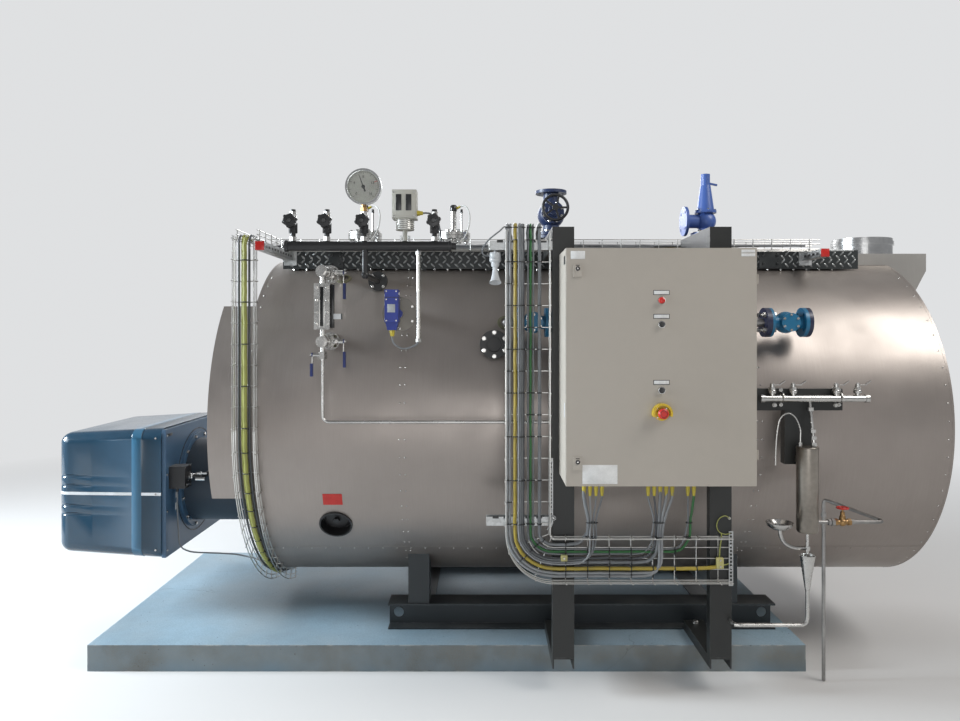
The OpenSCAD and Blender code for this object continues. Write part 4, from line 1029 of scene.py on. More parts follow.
def build_lap_joint():
    """The lengthwise lap: a narrow step in the sheet, low on both sides."""
    bm = bmesh.new()
    for side in (1, -1):
        strip = [
            on_shell(SHELL_X0 + 0.013, side * math.radians(a) + (0 if side > 0 else math.pi)).translation
            for a in (-47.2, -46.4, -45.6, -44.8)
        ]
        points = [bm.verts.new(p) for p in strip]
        edges = [bm.edges.new(pair) for pair in zip(points, points[1:])]
        risen = bmesh.ops.extrude_edge_only(bm, edges=edges)
        ends = [g for g in risen["geom"] if isinstance(g, bmesh.types.BMVert)]
        bmesh.ops.translate(bm, vec=(SHELL_X1 - SHELL_X0 - 0.026, 0, 0), verts=ends)
    bmesh.ops.recalc_face_normals(bm, faces=bm.faces)
    bmesh.ops.solidify(bm, geom=bm.faces[:], thickness=0.0012)
    close_piece("cladding_laps", bm, "cladding")


build_rivets()
build_lap_joint()

# %% [markdown]
# ## Bolted flanges
# Every flange pair is held by a ring of bolts: heads on one side, nuts with their stud ends on the
# other. The steam valve's and the feed valves' outer faces stay empty: their holes are the mounts.
# One table lists the rings as count, circle radius, centre, direction, width across flats and kind.

# %% Rings of bolts
PROBES = (-0.526, 0.002)
VALVE_RINGS = [
    (8, 0.0725, (0.584, 0, 2.267), UP, 0.024, "head"),
    (8, 0.0725, (0.584, 0, 2.231), DOWN, 0.024, "nut"),
    (8, 0.0555, (0.584, -0.128, 2.374), FRONT, 0.013, "head"),
    (4, 0.0625, (1.433, -0.25, 2.233), UP, 0.024, "head"),
    (4, 0.0625, (1.433, -0.25, 2.197), DOWN, 0.024, "nut"),
    (6, 0.0542, (1.433, -0.25, 2.361), UP, 0.009, "head"),
    (4, 0.050, (0.345, -0.88, 1.723), LEFT, 0.022, "head"),
    (4, 0.050, (0.495, -0.88, 1.723), RIGHT, 0.022, "nut"),
    (4, 0.050, (1.524, -0.88, 1.723), LEFT, 0.022, "nut"),
    (4, 0.050, (1.5603, -0.88, 1.723), RIGHT, 0.022, "head"),
    (6, 0.0365, (0.420, -0.952, 1.723), FRONT, 0.010, "head"),
    (6, 0.0365, (1.6323, -0.952, 1.723), FRONT, 0.010, "head"),
    (6, 0.058, (0.235, -0.8439, 1.617), FRONT, 0.016, "head"),
    (4, 0.040, (-0.368, -0.5769, 1.942), FRONT, 0.012, "head"),
    (6, 0.070, (-0.219, -0.890, 1.764), FRONT, 0.010, "head"),
    (12, 0.262, (-1.514, 0, 0.805), RIGHT, 0.018, "head"),
    (12, 0.268, (-1.002, 0, 0.805), LEFT, 0.018, "nut"),
]
for x in PROBES:
    VALVE_RINGS.append((8, 0.080, (x, 0, 2.2656), UP, 0.024, "head"))
    VALVE_RINGS.append((8, 0.080, (x, 0, 2.225), DOWN, 0.024, "nut"))


def build_flange_bolts():
    bm = bmesh.new()
    for count, radius, at, axis, across, kind in VALVE_RINGS:
        bolt = hex_head(across, across * 0.45) if kind == "head" else nut_and_stud(across, across * 0.66)
        stamp(bm, bolt, ring_of(count, radius, stand(at, axis)))
        bpy.data.meshes.remove(bolt)
    close_piece("flange_bolts", bm, "bright_steel")


def build_frame_bolts():
    """Bolts of the skid, the posts and the cabinet's fixings."""
    bm = bmesh.new()
    big, small = hex_head(0.024, 0.011), hex_head(0.017, 0.008)
    for leg_x in (-0.155, 1.450):
        for side in (-1, 1):
            for dx in (-0.0301, 0.0301):
                for dy in (-0.048, 0.048):
                    spot = (leg_x + dx, side * 0.51 + dy, 0.263)
                    stamp(bm, small, [stand(spot, UP, dice.random())])
    for post_x in (0.550, 1.273):
        for y in (-0.99, -0.62):
            stamp(bm, big, [stand((post_x, y, 0.18), UP, dice.random())])
    for x in (1.36, 1.52, 1.80):
        stamp(bm, small, [stand((x, -1.035, 1.342), FRONT, dice.random())])
    close_piece("frame_bolts", bm, "bright_steel")


build_flange_bolts()
build_frame_bolts()

# %% [markdown]
# ## Burner
# The hood is a moulding with soft edges all round, a raised strap and four grooves, which the CAD's
# plainer block stands for. A white line runs round it. The dark panel behind carries a round cover
# with a thin joint, a few screws and the actuator's linkage: a bright lever, a rod and two ball
# ends. A grey cable hangs below in a loop with a blank tag on it.

# %% Burner trim and linkage
HOOD_NOSE_X = -2.129
HOOD_BACK_X = -1.550
HOOD_HALF = 0.452
HOOD_TOP, HOOD_LOW = 1.1575, 0.4525
HOOD_DRAFT = 0.026
HOOD_ROUND = 0.070
HOOD_CURVE_X = -2.059
HOOD_LENGTH = 0.509
HOOD_EDGE = 0.058
BURNER_Z = 0.805
GROOVE_ZS = (0.693, 0.739, 0.847, 0.898)


def hood_section(inset, edge, notch):
    """The hood's outline across its length, as (y, z) points. The sides are notched at the grooves."""
    half, top, low = HOOD_HALF - inset, HOOD_TOP - inset, HOOD_LOW + inset
    side = [(low + edge, 0.0)]
    for z in GROOVE_ZS:
        side += [(z - 0.010, 0.0), (z - 0.005, notch), (z + 0.005, notch), (z + 0.010, 0.0)]
    side.append((top - edge, 0.0))
    turn = [math.radians(15 * i) for i in range(1, 6)]
    points = [(-half + cut, z) for z, cut in side]
    points += [(-half + edge - edge * math.cos(a), top - edge + edge * math.sin(a)) for a in turn]
    points += [(-half + edge, top), (half - edge, top)]
    points += [(half - edge + edge * math.sin(a), top - edge + edge * math.cos(a)) for a in turn]
    points += [(half - cut, z) for z, cut in reversed(side)]
    points += [(half - edge + edge * math.cos(a), low + edge - edge * math.sin(a)) for a in turn]
    points += [(half - edge, low), (-half + edge, low)]
    points += [(-half + edge - edge * math.sin(a), low + edge - edge * math.cos(a)) for a in turn]
    return points


def build_hood():
    """Sections joined from the back edge to the rounded nose."""
    sections = [(-1.550, 0.0, 0.0), (-1.6570, 0.0, 0.0), (-1.6590, -0.0016, 0.0), (-1.7110, -0.0016, 0.0),
                (-1.7130, 0.0, 0.0), (-1.925, 0.0, 0.0), (-1.940, 0.0, 0.005), (HOOD_CURVE_X, 0.0, 0.005)]
    for degrees in range(15, 91, 15):
        a = math.radians(degrees)
        inset = HOOD_ROUND * (1 - math.cos(a))
        sections.append((HOOD_CURVE_X - HOOD_ROUND * math.sin(a), inset, 0.005 * math.cos(a)))
    bm = bmesh.new()
    rings = []
    for x, inset, notch in sections:
        draft = HOOD_DRAFT * min(1.0, (HOOD_BACK_X - x) / HOOD_LENGTH)
        edge = max(HOOD_EDGE - max(inset, 0.0), 0.004)
        rings.append([bm.verts.new((x, y, z)) for y, z in hood_section(inset + draft, edge, notch)])
    for a, b in zip(rings, rings[1:]):
        for i in range(len(a)):
            j = (i + 1) % len(a)
            bm.faces.new((a[i], a[j], b[j], b[i]))
    bm.faces.new(rings[0])
    bm.faces.new(rings[-1])
    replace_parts(close_piece("hood_moulding", bm, "burner_blue", hard=40), "burner_hood")


def hood_path():
    """Points and outward directions round the hood in plan, from one back corner to the other."""
    points, outward = [], []
    for side in (-1, 1):
        corner = Vector((HOOD_NOSE_X + HOOD_ROUND, side * (HOOD_HALF - HOOD_DRAFT - HOOD_ROUND), 0))
        arc = [math.radians(90 + a) for a in range(0, 91, 15)]
        turned = [Vector((math.cos(a), side * math.sin(a), 0)) for a in arc]
        run = [(Vector((HOOD_BACK_X, side * HOOD_HALF, 0)), Vector((0, side, 0)))]
        run += [(corner + HOOD_ROUND * d, d) for d in turned]
        points += [p for p, _ in (run if side < 0 else reversed(run))]
        outward += [d for _, d in (run if side < 0 else reversed(run))]
    return points, outward


def build_hood_trim():
    points, outward = hood_path()
    back = [p - 0.0035 * d for p, d in zip(points, outward)]
    bm = bmesh.new()
    add_band(bm, back, outward, BURNER_Z - 0.008, BURNER_Z + 0.008, 0.0048)
    close_piece("hood_trim", bm, "horn_white")

    bm = bmesh.new()
    for z in (BURNER_Z - 0.30, BURNER_Z, BURNER_Z + 0.30):
        add_rod(bm, stand((HOOD_BACK_X - 0.03, -HOOD_HALF + 0.0005, z), FRONT), 0.006, 0.0022, 16, 0.005)
    close_piece("hood_screws", bm, "bright_steel")


def build_panel_details():
    front = -0.442
    face = HOOD_BACK_X + 0.022
    bm = bmesh.new()
    for radius in (0.300, 0.2965):
        ring = circle((face + 0.0008, 0, BURNER_Z), BACK, UP, radius, range(0, 361, 6))
        add_hose(bm, ring, 0.0012, 1)
    add_block(bm, (face, front + 0.02, BURNER_Z + 0.305), (face + 0.002, -0.36, BURNER_Z + 0.32), 0.0005)
    close_piece("panel_joint", bm, "control_black")

    bm = bmesh.new()
    screw = dome(0.0075, 0.004)
    spots = [(y, BURNER_Z + dz) for y in (front + 0.02, 0.42) for dz in (-0.31, -0.1, 0.1, 0.31)]
    for y, z in spots:
        stamp(bm, screw, [stand((face, y, z), RIGHT)])
    close_piece("panel_screws", bm, "bright_steel")


def build_linkage():
    """Lever on the actuator's shaft, ball joint and rod to the burner head."""
    x, y, z = -1.44, -0.36, 0.885
    bm = bmesh.new()
    add_rod(bm, stand((x, y, z), RIGHT), 0.017, 0.016, 24)
    add_nut(bm, (x + 0.016, y, z), RIGHT, 0.0065, 0.03)
    add_block(bm, (x + 0.018, y - 0.012, z - 0.01), (x + 0.026, y + 0.075, z + 0.012), 0.002)
    ball = (x + 0.04, y + 0.066, z)
    bmesh.ops.create_icosphere(bm, subdivisions=2, radius=0.012, matrix=Matrix.Translation(ball))
    add_hose(bm, [ball, (x + 0.10, y + 0.15, z + 0.004), (x + 0.16, y + 0.235, z + 0.01)], 0.004)
    add_rod(bm, stand((x + 0.045, y - 0.01, z - 0.014), RIGHT), 0.009, 0.05, 20)
    add_rod(bm, stand((x + 0.052, y - 0.01, z + 0.017), RIGHT), 0.0055, 0.055, 16)
    close_piece("burner_linkage", bm, "gauge_case")

    bm = bmesh.new()
    screw = dome(0.003, 0.0015)
    for dy in (-0.038, 0.038):
        for dz in (-0.052, 0.052):
            stamp(bm, screw, [stand((x, y + dy, z + dz), RIGHT)])
    add_block(bm, (-1.4405, y - 0.02, 0.835), (-1.4385, y + 0.02, 0.848), 0.0004)
    close_piece("actuator_screws", bm, "bright_steel")

    hang = [(-1.50, -0.36, 0.826), (-1.50, -0.362, 0.79), (-1.498, -0.366, 0.72), (-1.495, -0.36, 0.60),
            (-1.49, -0.345, 0.50), (-1.44, -0.33, 0.462), (-1.34, -0.32, 0.452), (-1.20, -0.33, 0.448),
            (-1.07, -0.37, 0.436), (-0.985, -0.42, 0.418), (-0.958, -0.437, 0.408)]
    lay("burner_cable", hang, 0.0042, wander=0.0006, step=0.02)

    bm = bmesh.new()
    add_block(bm, (-1.504, -0.378, 0.705), (-1.502, -0.352, 0.742), 0.0004)
    add_block(bm, (-1.5035, -0.374, 0.77), (-1.5022, -0.366, 0.80), 0.0003)
    close_piece("cable_tags", bm, "horn_white")

    bm = bmesh.new()
    add_nut(bm, (-1.50, -0.36, 0.826), DOWN, 0.010, 0.014)
    add_rod(bm, stand((-1.50, -0.36, 0.812), DOWN), 0.0085, 0.012, 20, 0.006)
    close_piece("actuator_gland", bm, "control_black")


build_hood()
build_hood_trim()
build_panel_details()
build_linkage()

# %% [markdown]
# ## Pressure gauge
# The dial sits in the case's recess behind a thin glass. It reads 0 to 16 bar over three quarters of
# a turn, with long marks at each even number, short marks between them, and a red line at the
# safety valve's setting. Only plain figures are on it. The pointer is one tapered blade with a
# round counterweight.

# %% Dial, pointer and glass
GAUGE_AT = Vector((-0.373, -1.008, 2.350))
DIAL_R = 0.0745
FULL_SCALE = 16
RED_LINE = 12.0
READING = 6.8


def glass(name, tint=(0.95, 0.98, 0.98)):
    made = Finish(name, 0.03)
    made.shader.inputs["Transmission Weight"].default_value = 1.0
    made.shader.inputs["IOR"].default_value = 1.35
    smears = made.noise(30.0, 5.0)
    made.set("Roughness", made.span(smears, 0.45, 0.7, 0.02, 0.14))
    made.set("Base Color", made.mix(smears, rgba(tint), rgba(shade(tint, 0.96))))
    return made.material


def dial_angle(value):
    """Turn of the pointer from straight up for a reading, clockwise as seen from the front."""
    return math.radians(-135 + 270 * value / FULL_SCALE)


def on_dial(value, radius, lift=0.0):
    a = dial_angle(value)
    out = Vector((math.sin(a), 0, math.cos(a)))
    return GAUGE_AT + Vector((0, -lift, 0)) + out * radius


def add_mark(bm, value, inner, outer, width, lift=0.0009):
    """A thin radial bar on the dial."""
    a = dial_angle(value)
    place = Matrix.Translation(GAUGE_AT + Vector((0, -lift, 0))) @ Matrix.Rotation(a, 4, "Y")
    add_block(bm, (-width / 2, -0.0003, inner), (width / 2, 0.0003, outer), 0.0, place)


def build_gauge():
    bm = bmesh.new()
    add_rod(bm, stand(GAUGE_AT, FRONT), DIAL_R, 0.0007, 64)
    close_piece("gauge_dial", bm, "horn_white", finish=plastic("dial card", (0.40, 0.38, 0.34), 0.5))

    bm = bmesh.new()
    for i in range(FULL_SCALE * 2 + 1):
        value = i / 2
        long = value % 2 == 0
        add_mark(bm, value, 0.058 if long else 0.063, 0.069, 0.0016 if long else 0.0008)
    arc = [on_dial(FULL_SCALE * i / 48, 0.069, 0.0009) for i in range(49)]
    add_hose(bm, arc, 0.0005, 0)
    for value in range(0, FULL_SCALE + 1, 4):
        words = bpy.data.curves.new("figure", "FONT")
        words.body = str(value)
        words.size = 0.017
        words.align_x = "CENTER"
        words.align_y = "CENTER"
        words.extrude = 0.0002
        holder = bpy.data.objects.new("figure", words)
        figure = holder.to_mesh()
        centre = Matrix.Translation(on_dial(value, 0.046, 0.001))
        figure.transform(centre @ Matrix.Rotation(math.pi / 2, 4, "X"))
        bm.from_mesh(figure)
        holder.to_mesh_clear()
        bpy.data.objects.remove(holder)
        bpy.data.curves.remove(words)
    close_piece("gauge_marks", bm, "control_black")

    bm = bmesh.new()
    add_mark(bm, RED_LINE, 0.055, 0.070, 0.0024, 0.0014)
    close_piece("gauge_red_line", bm, "switch_red")

    bm = bmesh.new()
    middle = Matrix.Translation(GAUGE_AT + Vector((0, -0.003, 0)))
    place = middle @ Matrix.Rotation(dial_angle(READING), 4, "Y")
    half_blade = [(0.0042, -0.024), (0.0028, 0.0), (0.0007, 0.062)]
    blade = [(-0.0042, -0.024), *half_blade, (-0.0007, 0.062), (-0.0028, 0.0)]
    ends = [[bm.verts.new(place @ Vector((x, y, z))) for x, z in blade] for y in (-0.0005, 0.0005)]
    for i in range(len(blade)):
        j = (i + 1) % len(blade)
        bm.faces.new((ends[0][i], ends[0][j], ends[1][j], ends[1][i]))
    bm.faces.new(ends[0])
    bm.faces.new(reversed(ends[1]))
    add_rod(bm, stand(GAUGE_AT, FRONT), 0.0028, 0.0045, 16)
    add_rod(bm, stand(GAUGE_AT + Vector((0, -0.002, 0)), FRONT), 0.0085, 0.002, 24)
    close_piece("gauge_pointer", bm, "control_black")

    bm = bmesh.new()
    add_rod(bm, stand(GAUGE_AT + Vector((0, -0.0058, 0)), FRONT), 0.0757, 0.0016, 64)
    close_piece("gauge_glass", bm, None, finish=glass("dial glass"))


build_gauge()

# %% [markdown]
# ## Knobs, pressure switch and probes
# The needle valves have six-lobed knobs with a dark insert. The pressure switch shows two dark
# windows, four corner screws and the bellows below. A grey cable loops away from it. The probe rods
# carry dark caps, each with a yellow gland and a pale cable.

# %% Manifold instruments
MAN_Y = -0.990
KNOB_Z = 2.187
KNOB_R = 0.0265
VALVE_XS = (-0.703, -0.545, -0.373, -0.045)
BRASS = wire("brass", (0.33, 0.20, 0.085), 0.32)


def build_knobs():
    bm = bmesh.new()
    for x in VALVE_XS:
        for i in range(6):
            a = math.pi / 3 * i + 0.3
            spot = (x + KNOB_R * math.cos(a), MAN_Y - 0.050, KNOB_Z + KNOB_R * math.sin(a))
            add_rod(bm, stand(spot, FRONT), 0.0088, 0.023, 14, 0.0078)
        add_turned(bm, stand((x, MAN_Y - 0.072, KNOB_Z), FRONT),
                   [(0.029, -0.001), (0.027, 0.002), (0.012, 0.003), (0.010, 0.001)], 32)
    close_piece("knob_lobes", bm, "control_black")

    bm = bmesh.new()
    for x in VALVE_XS:
        add_rod(bm, stand((x, MAN_Y - 0.072, KNOB_Z), FRONT), 0.0095, 0.0028, 24, 0.0085)
    insert = plastic("knob insert", (0.06, 0.06, 0.06), 0.3)
    close_piece("knob_inserts", bm, "control_black", finish=insert)

    bm = bmesh.new()
    for x in VALVE_XS:
        add_nut(bm, (x, MAN_Y, 2.1), UP, 0.0165, 0.020)
        add_rod(bm, stand((x, MAN_Y, 2.192), UP), 0.0148, 0.030, 24)
        add_nut(bm, (x, MAN_Y, 2.222), UP, 0.0170, 0.014)
    close_piece("valve_unions", bm, "bright_steel")

    bm = bmesh.new()
    add_rod(bm, stand((-0.373, MAN_Y, 2.249), UP), 0.0118, 0.026, 24)
    add_nut(bm, (-0.373, MAN_Y, 2.238), UP, 0.0175, 0.016)
    close_piece("gauge_stem", bm, "bright_steel", finish=BRASS)


def build_pressure_switch():
    left, right, low, high = -0.238, -0.126, 2.200, 2.333
    front = MAN_Y - 0.040
    bm = bmesh.new()
    corner = (right - 0.003, front + 0.001, high - 0.003)
    add_block(bm, (left + 0.003, front - 0.004, low + 0.003), corner, 0.002)
    close_piece("switch_cover", bm, "instrument_grey")
    bm = bmesh.new()
    for x0, x1 in ((left + 0.018, left + 0.044), (left + 0.064, left + 0.090)):
        add_block(bm, (x0, front - 0.0058, low + 0.036), (x1, front - 0.0035, high - 0.022), 0.0006)
    close_piece("switch_windows", bm, "control_black")
    bm = bmesh.new()
    for x in (left + 0.010, right - 0.010):
        for z in (low + 0.012, high - 0.012):
            add_rod(bm, stand((x, front - 0.0035, z), FRONT), 0.0042, 0.0022, 14)
    for i in range(5):
        add_turned(bm, stand((-0.182, MAN_Y, 2.152 + i * 0.0095), UP),
                   [(0.0418, 0.0), (0.0432, 0.0022), (0.0432, 0.0045), (0.0418, 0.0066)], 32)
    close_piece("switch_bellows", bm, "bright_steel")
    bm = bmesh.new()
    add_nut(bm, (right, MAN_Y, low + 0.03), RIGHT, 0.0125, 0.012)
    add_rod(bm, stand((right + 0.012, MAN_Y, low + 0.03), RIGHT), 0.0105, 0.016, 20, 0.0085)
    close_piece("switch_gland", bm, "gland_yellow")
    start = Vector((right + 0.026, MAN_Y, low + 0.03))
    steps = [(0.0, 0.0, 0.0), (0.03, 0.003, 0.0), (0.062, 0.03, -0.02), (0.075, 0.12, -0.07),
             (0.072, 0.32, -0.105), (0.066, 0.55, -0.117)]
    lay("switch_cable", [start + Vector(s) for s in steps], 0.0045, wander=0.0, step=0.02)


def build_probe_heads():
    """Flanged necks with slim rods, in place of the CAD's plain ones."""
    bm = bmesh.new()
    for x in PROBES:
        add_turned(bm, stand((x, 0, 0), UP), [
            (0.0, 2.0946), (0.040, 2.0946), (0.040, 2.225), (0.099, 2.225), (0.100, 2.226), (0.100, 2.2438),
            (0.099, 2.2448), (0.079, 2.2448), (0.079, 2.2458), (0.099, 2.2458), (0.100, 2.2468),
            (0.100, 2.2646), (0.099, 2.2656), (0.032, 2.2656), (0.031, 2.278), (0.0175, 2.283),
            (0.0165, 2.290), (0.0165, 2.352), (0.0185, 2.354), (0.0185, 2.366), (0.0165, 2.368),
            (0.0165, 2.396), (0.0, 2.396),
        ], 48)
        add_nut(bm, (x + 0.048, -0.012, 2.2656), UP, 0.011, 0.018)
        add_rod(bm, stand((x + 0.048, -0.012, 2.280), UP), 0.0062, 0.105, 16)
    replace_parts(close_piece("probe_rods", bm, "bright_steel"), "level_probes")
    bm = bmesh.new()
    for x in PROBES:
        cap = [(0.0, 0.0), (0.019, 0.0), (0.0205, 0.004), (0.0205, 0.030), (0.015, 0.038), (0.0, 0.040)]
        add_turned(bm, stand((x, 0, 2.396), UP), cap, 32)
        add_rod(bm, stand((x + 0.048, -0.012, 2.385), UP), 0.0085, 0.022, 20, 0.007)
    close_piece("probe_caps", bm, "control_black")
    bm = bmesh.new()
    for x in PROBES:
        add_rod(bm, stand((x + 0.020, -0.006, 2.414), (0.8, -0.3, 0.35)), 0.0085, 0.024, 20, 0.006)
    close_piece("probe_glands", bm, "gland_yellow")
    bm = bmesh.new()
    for x in PROBES:
        knots = [
            (0.036, -0.012, 2.421), (0.062, -0.022, 2.426), (0.090, -0.050, 2.395),
            (0.098, -0.085, 2.320), (0.075, -0.125, 2.235), (0.035, -0.17, 2.185), (0.02, -0.26, 2.162),
            (0.03, -0.35, 2.156), (0.07, -0.415, 2.142), (0.16, -0.442, 2.1325), (0.50, -0.440, 2.1322),
        ]
        add_hose(bm, smooth_path([(x + dx, y, z) for dx, y, z in knots], 0.02, 0.0008), 0.0044, 2)
    white = plastic("probe cable", (0.50, 0.50, 0.48), 0.4)
    close_piece("probe_cables", bm, "cable_grey", finish=white)


build_knobs()
build_pressure_switch()
build_probe_heads()

# %% [markdown]
# ## Water gauge and level transmitter
# A reflex gauge shows the level through one narrow dark glass between two rows of bolts. Its ball
# valves have flat steel levers inside their blue sleeves, so each lever gets a bright blade and a nut
# that ride on it. The transmitter's case has a lid joint, six screws, a blank label and a gland.

# %% Water gauge, levers and transmitter
WG_X = -0.567
WG_FACE = -1.003
WG_TOP_Z, WG_LOW_Z, WG_DRAIN_Z = 1.960, 1.632, 1.570


def build_water_gauge():
    bm = bmesh.new()
    add_block(bm, (WG_X - 0.0075, -1.0010, 1.7055), (WG_X + 0.0075, -0.9942, 1.8865), 0.001)
    # The second block is a near-black slab beside the body's right side: painted shade for that side face
    # in shadow.
    add_block(bm, (-0.5298, -0.986, 1.696), (-0.5155, -0.958, 1.898), 0.002)
    reflex = plastic("reflex glass and painted side shade", (0.004, 0.005, 0.006), 0.12)
    close_piece("gauge_window_and_side_shade", bm, "control_black", finish=reflex)

    bm = bmesh.new()
    for x0, x1 in ((-0.0128, -0.0078), (0.0078, 0.0128)):
        add_block(bm, (WG_X + x0, -1.0052, 1.6965), (WG_X + x1, WG_FACE + 0.0005, 1.8955), 0.001)
    nut = nut_and_stud(0.013, 0.008)
    ring = [(0.0275, -0.006), (0.033, -0.006), (0.033, 0.006), (0.0275, 0.006)]
    for z in (1.707, 1.761, 1.817, 1.875):
        for dx in (-0.0245, 0.0245):
            stamp(bm, nut, [stand((WG_X + dx, WG_FACE, z + 0.008), FRONT, dice.random())])
    for z in (WG_TOP_Z, WG_LOW_Z):
        add_nut(bm, (WG_X + 0.040, -0.880, z), RIGHT, 0.017, 0.012)
        for y in (-0.914, -0.856):
            add_turned(bm, stand((WG_X, y, z), FRONT), ring, 28)
        stamp(bm, hex_head(0.014, 0.007), ring_of(4, 0.031, stand((WG_X, -0.803, z), FRONT), 0))
        add_rod(bm, stand((WG_X, -1.010, z), FRONT), 0.0205, 0.004, 28)
    close_piece("gauge_bolts", bm, "bright_steel")

    block_piece("gauge_tag", "horn_white", (-0.5150, -0.9905, 1.737), (-0.4800, -0.9890, 1.762), 0.0004)
    bm = bmesh.new()
    add_block(bm, (-0.4800, -0.9910, 1.736), (-0.4740, -0.9885, 1.763), 0.0004)
    add_hose(bm, [(-0.528, -0.99, 1.7495), (-0.514, -0.9897, 1.7495)], 0.0012, 1)
    close_piece("gauge_tag_end", bm, "control_black")

    olive = plastic("olive collar", (0.10, 0.095, 0.05), 0.6)
    bm = bmesh.new()
    for x, z in ((WG_X, WG_TOP_Z), (WG_X, WG_LOW_Z), (-0.368, 1.942), (0.295, 1.723)):
        y = -math.sqrt(SHELL_R**2 - (z - AXIS_Z) ** 2)
        slope = Vector((0, y, z - AXIS_Z)).normalized()
        outline = [(0.026, -0.004), (0.043, -0.004), (0.043, 0.003), (0.028, 0.006)]
        add_turned(bm, stand((x, y, z), slope), outline, 28)
    close_piece("shell_collars", bm, "black_iron", finish=olive)


def build_lever_blades():
    levers = (
        ("water_lever_top", -0.4907, -0.880, WG_TOP_Z, 0.125, 1),
        ("water_lever_low", -0.4907, -0.880, WG_LOW_Z, 0.125, 1),
        ("water_lever_drain", -0.6133, -0.980, WG_DRAIN_Z, 0.100, -1),
    )
    for body, x, y, z, length, way in levers:
        bm = bmesh.new()
        ends = sorted((x - way * 0.0004, x + way * 0.0046))
        add_block(bm, (ends[0], y - 0.0086, z - length * 0.405), (ends[1], y + 0.0086, z + 0.004), 0.001)
        add_rod(bm, stand((x + way * 0.0046, y, z), (way, 0, 0)), 0.0085, 0.006, 6)
        add_rod(bm, stand((x + way * 0.0106, y, z), (way, 0, 0)), 0.004, 0.004, 14)
        close_piece(body + "_blade", bm, "bright_steel", body)


def build_transmitter():
    left, right, front = -0.275, -0.213, -1.010
    low, high = (left - 0.0008, front - 0.0008, 1.8368), (right + 0.0008, -0.9292, 1.8392)
    block_piece("transmitter_joint", "control_black", low, high)
    bm = bmesh.new()
    for x in (left + 0.008, right - 0.008):
        for z in (1.730, 1.828, 1.866):
            add_rod(bm, stand((x, front, z), FRONT), 0.0035, 0.0018, 12)
    for x in (left, right):
        add_rod(bm, stand((x, -0.97, 1.855), LEFT if x == left else RIGHT), 0.010, 0.004, 6)
    close_piece("transmitter_screws", bm, "bright_steel")
    label = plastic("blank label", (0.34, 0.36, 0.38), 0.4)
    low, high = (left + 0.013, front - 0.0006, 1.768), (right - 0.013, front, 1.806)
    block_piece("transmitter_label", "horn_white", low, high, 0.0003, label)
    bm = bmesh.new()
    x = (left + right) / 2
    add_nut(bm, (x, -0.970, 1.687), DOWN, 0.0135, 0.012)
    add_rod(bm, stand((x, -0.970, 1.675), DOWN), 0.0115, 0.018, 24, 0.009)
    close_piece("transmitter_gland", bm, "gland_yellow")
    lay("transmitter_cable", [
        (x, -0.970, 1.662), (x, -0.970, 1.640), (x + 0.014, -0.972, 1.617), (x + 0.05, -0.978, 1.600),
        (x + 0.09, -0.984, 1.606), (x + 0.118, -0.986, 1.622), (x + 0.124, -0.986, 1.645),
    ], 0.0042, wander=0.0006, step=0.02)
    bm = bmesh.new()
    pipe_x, pipe_y = -0.120, -0.986
    add_hose(bm, [(pipe_x, pipe_y, z) for z in (2.058, 1.85, 1.635)], 0.0095, 3)
    for z in (2.036, 1.630):
        add_nut(bm, (pipe_x, pipe_y, z), UP, 0.0145, 0.016)
    close_piece("conduit", bm, "bright_steel")


build_water_gauge()
build_lever_blades()
build_transmitter()

# %% [markdown]
# ## Control cabinet
# The door carries a lamp and two push buttons, each below a small plate, and the stop button in
# its collar. All plates are blank. The locks have dark inserts, and a soft black gasket closes the
# gap between the door and the case. All of this swings with the door. Two tabs, the gland plate and
# the nuts of the glands stay with the case.

# %% Door furniture
DOOR_Y = -1.335
PANEL_X = 0.930
LAMP_Z, UPPER_Z, LOWER_Z, STOP_Z = 1.810, 1.709, 1.433, 1.338
PLATE_ZS = (1.843, 1.743, 1.466)
LOCK_X = 0.578
LOCK_ZS = (1.125, 1.935)
GLAND_XS = (0.634, 0.661, 0.922, 0.949, 0.976, 1.003, 1.100, 1.127)
MORE_GLANDS = (0.688, 0.715, 1.030)
GLAND_Y = -1.115
GLAND_PLATE_Z = 1.0285


def add_plate(bm, x, z, width, height, thick, lift=0.0):
    """A small blank plate on the door."""
    low = (x - width / 2, DOOR_Y - lift - thick, z - height / 2)
    add_block(bm, low, (x + width / 2, DOOR_Y - lift, z + height / 2), thick * 0.3)


